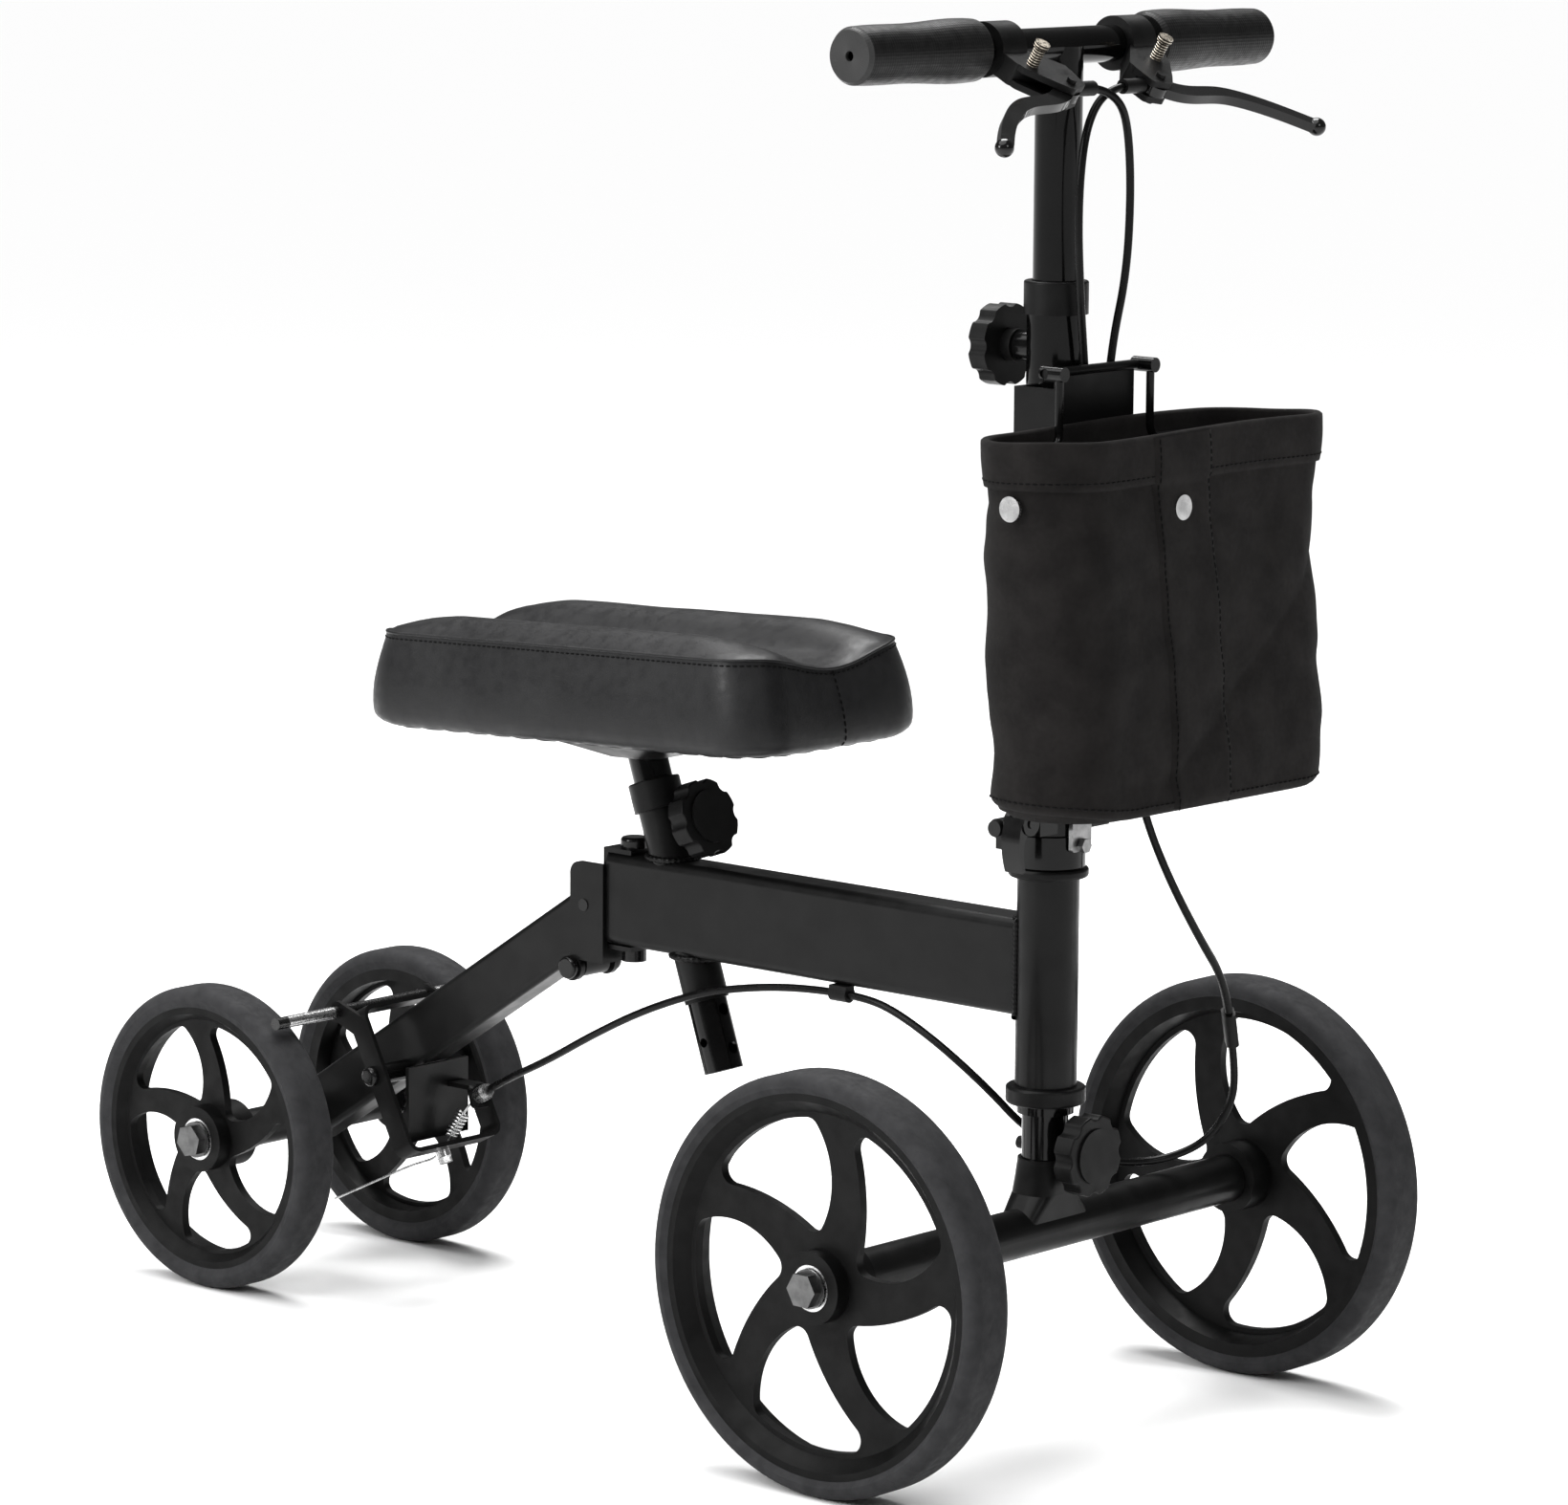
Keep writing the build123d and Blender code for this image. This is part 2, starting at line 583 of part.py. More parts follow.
with BuildPart() as lever_clamps:
    for side in (-1, 1):
        pipe(across(column_x, side * 50, handlebar_height, side), 16.5, bar_radius, 22)
        for low, high in ((3.4, 7.4), (-7.4, -3.4)):
            slab(side, low, high, [(12, 52), (12, 72), (30, 68), (46, 54), (54, 46), (50, 32), (34, 30)])
        slab(side, -7.4, 7.4, [(12, 50), (12, 72), (26, 70), (32, 44), (40, 32), (30, 30)], 2)
        rod(Plane(origin=in_lever_plane(side, 43.5, 32), x_dir=reach_dir, z_dir=(0, -side, 0)), 4.5, 18)
        rod(Plane(origin=in_lever_plane(side, 43.5, 32), x_dir=reach_dir, z_dir=(0, -side, 0)), 4.5, 2)
        pivot = in_lever_plane(side, pivot_reach, pivot_y)
        pivot_plane = Plane(origin=pivot - lever_axis * 10, x_dir=reach_dir, z_dir=lever_axis)
        rod(pivot_plane.offset(6.6), 9.5, 6.8, Mode.SUBTRACT)
        rod(pivot_plane, 3, 20)
        rod(across(column_x, side * 40, handlebar_height, side), bar_radius, 50, Mode.SUBTRACT)
        rod(Plane(origin=in_lever_plane(side, 43.5, 20), x_dir=reach_dir, z_dir=(0, -side, 0)), 2.5, 6, Mode.SUBTRACT)
save(lever_clamps.part, "lever_clamps")

with BuildPart() as adjuster_screws:
    for side in (-1, 1):
        seat = Plane(origin=in_lever_plane(side, 27, 58, 7.4), x_dir=reach_dir, z_dir=lever_axis)
        rod(seat, 3.6, 12)
        rod(seat.offset(12), 4.6, 3)
save(adjuster_screws.part, "adjuster_screws")


def make_lever(side):
    """A brake lever blade that bends outward beside the bar and ends in a ball."""
    with BuildPart() as lever:
        with BuildSketch(lever_plane(side, 3 if side > 0 else -3)) as blade:
            with BuildLine():
                Spline((41, -50), (50, -66), (53, -92), (62, -113), (75, -131), (91, -149))
                Line((91, -149), (97, -142.5))
                Spline((97, -142.5), (82, -125.5), (71, -109.5), (63, -91), (61, -66), (53, -44))
                Line((53, -44), (41, -50))
            make_face()
            with Locations((pivot_reach, -pivot_y)):
                Circle(8)
            with Locations((pivot_reach, -pivot_y)):
                Circle(3 + running, mode=Mode.SUBTRACT)
        extrude(blade.sketch, amount=6)
        with Locations(in_lever_plane(side, 95, 147.5)):
            Sphere(5.6)
    return lever.part


save(make_lever(-1), "brake_lever_right")
save(make_lever(1), "brake_lever_left")

# ---- seat ----
pad_x, pad_z = -32, 398
pad_tilt = 2.2
pad_front = Vector(cos(radians(pad_tilt)), 0, sin(radians(pad_tilt)))
pad_up = Vector(-sin(radians(pad_tilt)), 0, cos(radians(pad_tilt)))
pad_plane = Plane(origin=(pad_x, 0, pad_z), x_dir=pad_front, z_dir=pad_up)
pad_sections = ((0, 346, 160, 32), (16, 354, 168, 36), (60, 332, 157, 32), (71, 296, 122, 24))


def pad_section(height, length, width, corner):
    """One level of the seat pad's outline."""
    with BuildSketch(pad_plane.offset(height)) as outline:
        RectangleRounded(length, width, corner)
    return outline.sketch


with BuildPart() as seat_pad:
    levels = [pad_section(*section) for section in pad_sections]
    for lower, upper in zip(levels, levels[1:]):
        loft([lower, upper])
    trough = Plane(origin=pad_plane.origin - pad_front * 250 + pad_up * 84, x_dir=(0, 1, 0), z_dir=pad_front)
    with BuildSketch(trough) as hollow:
        Ellipse(48, 33)
    extrude(hollow.sketch, amount=500, mode=Mode.SUBTRACT)
save(seat_pad.part, "seat_pad")

with BuildPart() as seat_bracket:
    post_head = seat_base + seat_up * post_high
    with BuildSketch(pad_plane) as bracket_top:
        with Locations((post_head.X - pad_x, 0)):
            RectangleRounded(130, 96, 8)
    with BuildSketch(Plane(origin=(post_head.X + 3, 0, 382), x_dir=pad_plane.x_dir, z_dir=pad_plane.z_dir)) as bracket_foot:
        RectangleRounded(44, 38, 12)
    loft([bracket_top.sketch, bracket_foot.sketch])
    rod(on_seat_post(post_low), seat_post_radius, post_high - post_low, Mode.SUBTRACT)
save(seat_bracket.part, "seat_bracket")

with BuildPart() as seat_post:
    pipe(on_seat_post(post_low), seat_post_radius, seat_post_radius - wall, post_high - post_low)
    for step in range(5):
        height = -95 + 25 * step
        rod(Plane(origin=seat_base + seat_up * height, x_dir=(0, 1, 0), z_dir=seat_out), 4, 20, Mode.SUBTRACT)
    rod(across(seat_base.X + seat_up.X * -88, 0, seat_base.Z + seat_up.Z * -88, -1), 3, 20, Mode.SUBTRACT)
save(seat_post.part, "seat_post")

# ---- folding rear arm ----
brake_x, brake_z = -231.7, 149
arm_foot = Vector(rear_axle_x, 0, rear_radius)
arm_slope = 32.97
arm_dir = Vector(cos(radians(arm_slope)), 0, sin(radians(arm_slope)))
with BuildPart() as rear_arm:
    with BuildSketch(Plane(origin=arm_foot, x_dir=(0, 1, 0), z_dir=arm_dir)):
        RectangleRounded(arm_width, arm_depth, 4)
        offset(amount=-wall, mode=Mode.SUBTRACT)
    extrude(amount=360)
    block((beam_rear_x - 4.4, -40, 200), (60, 40, 420), Mode.SUBTRACT)
    rod(across(rear_axle_x, -30, rear_radius), rear_axle_radius, 60, Mode.SUBTRACT)
    rod(across(brake_x, -30, brake_z), 4, 60, Mode.SUBTRACT)
    rod(across(fold_x, -11, fold_z), 7.5, 22)
    block((fold_x - 7.5, -11, fold_z), (fold_x + 7.5, 11, fold_z + 8))
    rod(across(fold_x, -20, fold_z), 4 + running, 40, Mode.SUBTRACT)
save(rear_arm.part, "rear_arm")

loop_lean = 27.2
loop_down = Vector(sin(radians(loop_lean)), 0, -cos(radians(loop_lean)))
loop_front = Vector(cos(radians(loop_lean)), 0, sin(radians(loop_lean)))
loop_centre = Vector(-225.5, 0, 145)
loop_width, loop_height = 86, 104
shoe_x, shoe_z = rear_axle_x + 67, 187.6
spring_top = Vector(-196.9, 7.5, 121.5)
spring_dir = Vector(-0.302, -0.412, -0.857).normalized()
spring_length = 17
with BuildPart() as brake_loop:
    with BuildSketch(Plane(origin=loop_centre - loop_front * 8, x_dir=(0, 1, 0), z_dir=loop_front)):
        RectangleRounded(loop_width, loop_height, 9)
        offset(amount=-3, mode=Mode.SUBTRACT)
    extrude(amount=16)
    for side in (-1, 1):
        tab = across(0, side * (loop_width / 2 - 3), 0, side)
        top_corner = loop_centre - loop_down * 44
        with BuildSketch(tab) as ear:
            with BuildLine():
                Polyline(
                    (shoe_x, -side * (shoe_z + 7)), (top_corner.X + 4, -side * (top_corner.Z + 3)),
                    (top_corner.X + 2, -side * (top_corner.Z - 12)), (shoe_x, -side * (shoe_z - 7)), close=True,
                )
            make_face()
            with Locations((shoe_x, -side * shoe_z)):
                Circle(7)
        extrude(ear.sketch, amount=3)
    rod(across(brake_x, -60, brake_z), 4 + running, 120, Mode.SUBTRACT)
    rod(across(shoe_x, -60, shoe_z), 4, 120, Mode.SUBTRACT)
    rod(Plane(origin=spring_top, z_dir=spring_dir), 2, 60, Mode.SUBTRACT)
save(brake_loop.part, "brake_loop")

with BuildPart() as brake_bar:
    rod(across(shoe_x, -100, shoe_z), 4, 200)
save(brake_bar.part, "brake_bar")

with BuildPart() as brake_pivot:
    rod(across(brake_x, -46, brake_z), 4, 92)
    for side in (-1, 1):
        rod(across(brake_x, side * 13.8, brake_z, side), 6.5, 25.7)
        rod(across(brake_x, side * 43.4, brake_z, side), 6.5, 4.5)
    fillet(brake_pivot.edges().filter_by(GeomType.CIRCLE).group_by(Axis.Y)[0], 2.5)
    fillet(brake_pivot.edges().filter_by(GeomType.CIRCLE).group_by(Axis.Y)[-1], 2.5)
save(brake_pivot.part, "brake_pivot")

barrel_seat = Vector(-190, 15.7, 133)
barrel_dir = Vector(0.857, -0.262, 0.444).normalized()
barrel_length = 14
barrel_plane = Plane(origin=barrel_seat, x_dir=Vector(0, 0, 1).cross(barrel_dir), z_dir=barrel_dir)
with BuildPart() as cable_anchor:
    block((-216, -28, 104), (-213, 28, 154.5))
    block((-213.2, 9, 137), (-193.5, 23, 140))
    with BuildSketch(barrel_plane) as tab:
        RectangleRounded(14, 16, 3)
    extrude(tab.sketch, amount=-3)
    rod(barrel_plane.offset(-10), 1.6, 20, Mode.SUBTRACT)
save(cable_anchor.part, "cable_anchor")

with BuildPart() as cable_barrel:
    rod(barrel_plane, 5.5, 9)
    rod(barrel_plane.offset(9), 4, barrel_length - 9)
save(cable_barrel.part, "cable_barrel")

with BuildPart() as brake_spring:
    with BuildLine():
        coil = Helix(spring_length / 7, spring_length, 3.8, center=spring_top, direction=spring_dir)
    with BuildSketch(Plane(origin=coil @ 0, z_dir=coil % 0)) as coil_section:
        Circle(0.75)
    sweep(coil_section.sketch, path=coil)
save(brake_spring.part, "brake_spring")

# ---- cables ----


def bend_radii(points):
    """The largest arc for each inner corner: 0.45 of its shorter run over tan(half turn)."""
    radii = []
    for before, corner, after in zip(points, points[1:], points[2:]):
        inward, outward = corner - before, after - corner
        turn = inward.get_angle(outward)
        radii.append(0.45 * min(inward.length, outward.length) / tan(radians(turn / 2)))
    return radii


def cable(route, radius):
    """A tube of straight runs joined by tangent arcs along a route, in the active part."""
    points = [column_foot + Vector(*point) for point in route]
    radii = bend_radii(points)
    with BuildLine() as line:
        FilletPolyline(*points, radius=radii)
    path = line.wire()
    with BuildSketch(Plane(origin=path @ 0, z_dir=path % 0)) as section:
        Circle(radius)
    tube = sweep(section.sketch, path=path)
    ratio = tube.volume / (path.length * section.sketch.area)
    print(f"length {path.length:.1f}, volume ratio {ratio:.4f}, radii {[round(r) for r in radii]}")


# Route points are given forward of the column, to its left and above the floor.
column_foot = Vector(column_x, 0, 0)
boss_x, boss_z = 43.5 * reach_dir.X, handlebar_height + 43.5 * reach_dir.Z
joiner_dir = Vector(-4, 14.5, -45).normalized()
joiner_side = (Vector(-0.62, 0.61, 0) + joiner_dir * Vector(0.62, -0.61, 0).dot(joiner_dir)).normalized()
joiner_centre = Vector(40.3, 130.5, 237.5)
joiner_half = 11
pair_gap = 2.8
right_entry = joiner_centre - joiner_dir * (joiner_half + 0.1) + joiner_side * pair_gap
left_entry = joiner_centre - joiner_dir * (joiner_half + 0.1) - joiner_side * pair_gap
joiner_exit = joiner_centre + joiner_dir * joiner_half
barrel_tip = barrel_seat + barrel_dir * barrel_length - column_foot
plate_pass = 590
clip_point = (-155, clip_y, clip_z)

with BuildPart() as lever_cable_right:
    cable([
        (boss_x, -20, boss_z), (boss_x, -8, boss_z), (43, 5, 814), (39, 18, 795), (35, 26, 757),
        (31, 28, 710), (24, 24, 668), (23.3, 20, 628), (23.3, 20, plate_pass),
    ], cable_radius)
save(lever_cable_right.part, "lever_cable_right")

with BuildPart() as lever_cable_left:
    cable([
        (boss_x, 20, boss_z), (boss_x, 8, boss_z), (31.5, -4, 813), (32, -16, 791), (31, -19, 748),
        (28, -12, 700), (23.3, -2, 662), (23.3, 2, 628), (23.3, 2, plate_pass),
    ], cable_radius)
save(lever_cable_left.part, "lever_cable_left")

# Below the bag the two cables run side by side, one in front of the other.
shared_run = [(25, 45, 420), (29, 56, 378), (36, 71, 340), (41, 96, 300), right_entry - joiner_dir * 22]
with BuildPart() as column_cables:
    cable([
        (23.3, 20, plate_pass), (23.3, 20, 555), (23.5, 25, 512), (24, 35, 465), *shared_run, right_entry,
    ], cable_radius)
    cable([
        (23.3, 2, plate_pass), (23.3, 2, 555), (23.5, 9, 512), (24, 22, 465),
        *[Vector(point) - joiner_side * 2 * pair_gap for point in shared_run], left_entry,
    ], cable_radius)
save(column_cables.part, "column_cables")

with BuildPart() as cable_joiner:
    with BuildSketch(Plane(origin=column_foot + joiner_exit, x_dir=joiner_side, z_dir=-joiner_dir)) as body:
        SlotOverall(15, 8)
    extrude(body.sketch, amount=2 * joiner_half)
save(cable_joiner.part, "cable_joiner")

with BuildPart() as brake_cable_lower:
    cable([
        joiner_exit, joiner_exit + joiner_dir * 20, (34, 142, 186), (20, 136, 161), (0, 115, 149),
        (-15, 81, 151), (-25, 46, 163), (-29, 14, 183), (-45, 0, 206), (-78, -7, 230),
        (-110, -10, 246), (-133, clip_y, clip_z), clip_point,
    ], cable_radius)
save(brake_cable_lower.part, "brake_cable_lower")

with BuildPart() as brake_cable_rear:
    cable([
        clip_point, (-177, clip_y, clip_z), (-218, -16, 249), (-264, -21, 240), (-312, -22, 222),
        (-360, -18, 199), (-412, -9, 172), barrel_tip + barrel_dir * 24, barrel_tip,
    ], cable_radius)
save(brake_cable_rear.part, "brake_cable_rear")

clamp_point = loop_centre + loop_down * (loop_height / 2 + 0.1) - loop_front * 4.5 + Vector(0, -4.4, 0)
with BuildPart() as brake_inner_wire:
    cable([
        barrel_seat - column_foot, barrel_seat - barrel_dir * 5.2 - column_foot, (-502.7, 8.3, 123.3),
        (-506.6, 1.8, 110.5), (-511.2, -3.9, 96.7), (-520.3, -4.5, 89.5), (-546, -1, 80), (-580, 0, 64),
        (-618, 0, 46),
    ], 0.8)
    rod(Plane(origin=clamp_point, z_dir=loop_down), 5, 5)
    hexagon(Plane(origin=clamp_point + loop_down * 5, z_dir=loop_down), 8, 4)
save(brake_inner_wire.part, "brake_inner_wire")
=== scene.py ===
import json
from math import cos, pi, radians, sin, sqrt, tan

import bpy
from mathutils import Matrix, Vector, noise


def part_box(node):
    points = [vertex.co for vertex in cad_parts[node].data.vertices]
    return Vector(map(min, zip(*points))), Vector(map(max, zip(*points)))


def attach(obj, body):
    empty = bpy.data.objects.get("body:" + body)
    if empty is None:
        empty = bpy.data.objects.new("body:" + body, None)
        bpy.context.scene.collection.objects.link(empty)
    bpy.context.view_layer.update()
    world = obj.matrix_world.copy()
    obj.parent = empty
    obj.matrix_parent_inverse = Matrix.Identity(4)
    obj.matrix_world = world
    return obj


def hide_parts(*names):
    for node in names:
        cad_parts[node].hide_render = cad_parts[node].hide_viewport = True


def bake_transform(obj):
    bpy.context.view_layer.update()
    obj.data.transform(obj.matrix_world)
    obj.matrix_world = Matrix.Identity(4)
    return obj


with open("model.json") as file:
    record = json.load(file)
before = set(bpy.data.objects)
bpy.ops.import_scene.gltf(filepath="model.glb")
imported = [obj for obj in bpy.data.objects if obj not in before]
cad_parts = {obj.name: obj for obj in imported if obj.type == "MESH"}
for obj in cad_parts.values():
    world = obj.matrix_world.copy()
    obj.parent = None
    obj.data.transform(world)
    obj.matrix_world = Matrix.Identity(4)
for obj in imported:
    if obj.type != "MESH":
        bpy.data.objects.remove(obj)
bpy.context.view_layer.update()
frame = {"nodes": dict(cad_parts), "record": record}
nodes = frame["nodes"]
MM = 0.001


def add_object(name, data):
    """A new object that shows some data, linked to the scene."""
    thing = bpy.data.objects.new(name, data)
    bpy.context.scene.collection.objects.link(thing)
    return thing


def box_corners(name):
    """A node's lowest and highest corners at rest."""
    return [Vector(corner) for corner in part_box(name)]


# ---- materials ----


class Shader:
    """One procedural material, built up node by node."""

    def __init__(self, name, colour, roughness, metallic=0.0, **sockets):
        self.material = bpy.data.materials.new(name)
        self.material.use_nodes = True
        self.tree = self.material.node_tree
        self.bsdf = self.tree.nodes["Principled BSDF"]
        self.bsdf.inputs["Base Color"].default_value = (*colour, 1)
        self.bsdf.inputs["Roughness"].default_value = roughness
        self.bsdf.inputs["Metallic"].default_value = metallic
        for socket, value in sockets.items():
            self.bsdf.inputs[socket.replace("_", " ")].default_value = value
        self.coords = self.tree.nodes.new("ShaderNodeTexCoord").outputs["Object"]
        self.bump = None

    def link(self, a, b):
        self.tree.links.new(a, b)

    def place(self):
        """The X, Y and Z of the shaded point."""
        node = self.tree.nodes.new("ShaderNodeSeparateXYZ")
        self.link(self.coords, node.inputs[0])
        return [node.outputs[axis] for axis in "XYZ"]

    def math(self, operation, a, b=None, c=None):
        node = self.tree.nodes.new("ShaderNodeMath")
        node.operation = operation
        for i, value in enumerate((a, b, c)):
            if value is None:
                continue
            if isinstance(value, (int, float)):
                node.inputs[i].default_value = value
            else:
                self.link(value, node.inputs[i])
        return node.outputs[0]

    def noise(self, scale, detail=3.0, stretch=(1, 1, 1)):
        mapping = self.tree.nodes.new("ShaderNodeMapping")
        mapping.inputs["Scale"].default_value = stretch
        self.link(self.coords, mapping.inputs["Vector"])
        node = self.tree.nodes.new("ShaderNodeTexNoise")
        node.inputs["Scale"].default_value = scale
        node.inputs["Detail"].default_value = detail
        self.link(mapping.outputs[0], node.inputs["Vector"])
        return node.outputs["Fac"]

    def cells(self, scale):
        node = self.tree.nodes.new("ShaderNodeTexVoronoi")
        node.feature = "DISTANCE_TO_EDGE"
        node.inputs["Scale"].default_value = scale
        self.link(self.coords, node.inputs["Vector"])
        return node.outputs["Distance"]

    def spread(self, value, low, high, start=0.35, end=0.65):
        node = self.tree.nodes.new("ShaderNodeMapRange")
        self.link(value, node.inputs["Value"])
        ends = {"From Min": start, "From Max": end, "To Min": low, "To Max": high}
        for socket, number in ends.items():
            node.inputs[socket].default_value = number
        return node.outputs["Result"]

    def tint(self, value, dark, light, start=0.35, end=0.65):
        ramp = self.tree.nodes.new("ShaderNodeValToRGB")
        ramp.color_ramp.elements[0].position = start
        ramp.color_ramp.elements[1].position = end
        ramp.color_ramp.elements[0].color = (*dark, 1)
        ramp.color_ramp.elements[1].color = (*light, 1)
        self.link(value, ramp.inputs["Fac"])
        self.link(ramp.outputs["Color"], self.bsdf.inputs["Base Color"])

    def rough(self, value, low, high):
        self.link(self.spread(value, low, high), self.bsdf.inputs["Roughness"])

    def relief(self, height, strength, distance):
        node = self.tree.nodes.new("ShaderNodeBump")
        node.inputs["Strength"].default_value = strength
        node.inputs["Distance"].default_value = distance
        self.link(height, node.inputs["Height"])
        if self.bump:
            self.link(self.bump, node.inputs["Normal"])
        self.bump = node.outputs["Normal"]
        self.link(self.bump, self.bsdf.inputs["Normal"])


def paint(name, level, low, high, coat):
    """Black paint with a faint orange peel and slightly uneven gloss."""
    shader = Shader(name, (level,) * 3, high, Specular_IOR_Level=0.13,
                    Coat_Weight=coat, Coat_Roughness=0.1)
    shader.tint(shader.noise(35), (level * 0.8,) * 3, (level * 1.3,) * 3)
    shader.rough(shader.noise(60, 4), low, high)
    shader.relief(shader.noise(700, 2), 0.12, 0.0002)
    return shader.material


def plastic(name, level, low, high, grain=1800):
    """Moulded black plastic with a fine grain."""
    shader = Shader(name, (level,) * 3, high, Specular_IOR_Level=0.12)
    shader.tint(shader.noise(50), (level * 0.8,) * 3, (level * 1.35,) * 3)
    shader.rough(shader.noise(90, 4), low, high)
    shader.relief(shader.noise(grain, 3), 0.25, 0.0002)
    return shader.material


def metal(name, level, low, high, stretch=(1, 1, 1)):
    """Bright plated steel with fine scratches."""
    shader = Shader(name, (level,) * 3, high, 1.0)
    shader.tint(shader.noise(120, 4), (level * 0.7,) * 3, (level * 1.1,) * 3)
    shader.rough(shader.noise(900, 4, stretch), low, high)
    shader.relief(shader.noise(1500, 3, stretch), 0.15, 0.0001)
    return shader.material


def vinyl():
    """Charcoal vinyl with a pebbled grain and a soft sheen."""
    shader = Shader("seat_vinyl", (0.011, 0.011, 0.0115), 0.42, Specular_IOR_Level=0.22)
    shader.tint(shader.noise(25), (0.0085, 0.0085, 0.009), (0.013, 0.013, 0.0135))
    shader.rough(shader.noise(140, 4), 0.36, 0.5)
    shader.relief(shader.cells(900), 0.35, 0.00025)
    shader.relief(shader.noise(60, 3), 0.12, 0.0015)
    return shader.material


def canvas():
    """Warm black woven canvas: threads over and under, and a lighter fuzz."""
    shader = Shader("bag_canvas", (0.012, 0.011, 0.0105), 0.92, Specular_IOR_Level=0.08,
                    Sheen_Weight=0.03, Sheen_Roughness=0.5)
    thread_pitch = 0.0009
    x, y, z = shader.place()
    along = shader.math("ADD", x, y)
    warp = shader.math("SINE", shader.math("MULTIPLY", along, 2 * pi / thread_pitch))
    weft = shader.math("SINE", shader.math("MULTIPLY", z, 2 * pi / thread_pitch))
    weave = shader.math("MULTIPLY", warp, weft)
    shader.tint(shader.noise(45, 5), (0.0075, 0.0068, 0.0066), (0.0125, 0.0114, 0.011))
    shader.rough(shader.noise(300, 3), 0.85, 0.97)
    shader.relief(weave, 0.5, 0.0002)
    shader.relief(shader.noise(55, 4), 0.3, 0.002)
    return shader.material


def tyre_rubber(name, centre, half_width, radius):
    """Dark grey rubber with shallow chevron cuts across the shoulders."""
    chevrons, shoulder, groove = 44, radius - 0.0125, 0.0006
    shader = Shader(name, (0.026, 0.026, 0.0275), 0.8, Specular_IOR_Level=0.15)
    x, y, z = shader.place()
    x = shader.math("SUBTRACT", x, centre.x)
    y = shader.math("ABSOLUTE", shader.math("SUBTRACT", y, centre.y))
    z = shader.math("SUBTRACT", z, centre.z)
    angle = shader.math("ARCTAN2", z, x)
    squares = shader.math("ADD", shader.math("MULTIPLY", x, x), shader.math("MULTIPLY", z, z))
    reach = shader.math("SQRT", squares)
    fold = shader.math("PINGPONG", shader.math("DIVIDE", y, half_width), 0.45)
    turns = shader.math("MULTIPLY", angle, chevrons / (2 * pi))
    turns = shader.math("ADD", turns, shader.math("MULTIPLY", fold, 1.6))
    wave = shader.math("PINGPONG", turns, 0.5)
    cut = shader.math("LESS_THAN", wave, 0.06)
    from_shoulder = shader.math("ABSOLUTE", shader.math("SUBTRACT", reach, shoulder))
    ring = shader.math("LESS_THAN", from_shoulder, groove)
    outer = shader.math("GREATER_THAN", reach, shoulder)
    marks = shader.math("MAXIMUM", shader.math("MULTIPLY", cut, outer), ring)
    height = shader.math("SUBTRACT", 1.0, marks)
    shader.tint(shader.noise(70, 5), (0.021, 0.021, 0.0222), (0.029, 0.029, 0.0305))
    shader.rough(shader.noise(200, 3), 0.7, 0.88)
    shader.relief(height, 1.0, 0.0012)
    shader.relief(shader.noise(1200, 3), 0.3, 0.0002)
    return shader.material


def grip_rubber():
    """Grip rubber with rows of small raised diamonds."""
    bar_x, bar_z, end_cap = 0.3063, 0.845, 0.1872
    row_pitch, rows_round = 0.004, 28
    shader = Shader("grip_rubber", (0.007, 0.007, 0.007), 0.5, Specular_IOR_Level=0.2)
    x, y, z = shader.place()
    angle = shader.math("ARCTAN2", shader.math("SUBTRACT", z, bar_z), shader.math("SUBTRACT", x, bar_x))
    along = shader.math("MULTIPLY", y, 2 * pi / row_pitch)
    turn = shader.math("MULTIPLY", angle, rows_round)
    one = shader.math("SINE", shader.math("ADD", along, turn))
    two = shader.math("SINE", shader.math("SUBTRACT", along, turn))
    end = shader.math("GREATER_THAN", shader.math("ABSOLUTE", y), end_cap)
    shader.tint(end, (0.0055, 0.0055, 0.0055), (0.028, 0.028, 0.028))
    shader.rough(shader.noise(200, 3), 0.34, 0.5)
    shader.relief(shader.math("MULTIPLY", one, two), 0.14, 0.0005)
    return shader.material


materials = {
    "frame_black": paint("frame_black", 0.004, 0.3, 0.42, 0.04),
    "gloss_black": paint("gloss_black", 0.0022, 0.1, 0.2, 0.14),
    "plastic_black": plastic("plastic_black", 0.005, 0.34, 0.48),
    "lever_black": paint("lever_black", 0.005, 0.12, 0.2, 0.35),
    "grip_rubber": grip_rubber(),
    "wheel_plastic": plastic("wheel_plastic", 0.0022, 0.44, 0.6, 1400),
    "bright_steel": metal("bright_steel", 0.72, 0.2, 0.36),
    "cable_sleeve": plastic("cable_sleeve", 0.003, 0.22, 0.32, 2500),
    "seat_vinyl": vinyl(),
    "bag_canvas": canvas(),
}
black_steel = paint("blackened_steel", 0.004, 0.16, 0.26, 0.2)
# Stitch thread, much darker than the vinyl and canvas; on the bag its dark lines also stand in for the
# shadow lines along the hem and the strap's edges, so it is partly painted shade.
thread_and_shade = plastic("thread_and_shade", 0.0015, 0.75, 0.9, 4000)
zinc = metal("zinc", 0.13, 0.3, 0.45)
nickel = metal("nickel", 0.5, 0.16, 0.28)
worn_steel = metal("worn_steel", 0.3, 0.28, 0.42)


def dress(name, *finishes):
    """Give a node's mesh its finishes, and return the mesh."""
    mesh = nodes[name].data
    mesh.materials.clear()
    for finish in finishes:
        mesh.materials.append(finish)
    return mesh


own_finish = {
    "bracket_bolts": black_steel,
    "brake_pivot": black_steel,
    "quick_lever": black_steel,
    "clamp_pins": black_steel,
    "front_axle_bolts": zinc,
    "rear_axle_bolts": zinc,
    "latch_plate": worn_steel,
}
for entry in frame["record"]["subparts"]:
    name, slot = entry["node"], entry["material_slot"]
    if slot == "tyre_rubber":
        low, high = box_corners(name)
        size = high - low
        dress(name, tyre_rubber(name + "_rubber", (low + high) / 2, size.y / 2, size.x / 2))
    else:
        dress(name, own_finish.get(name, materials[slot]))


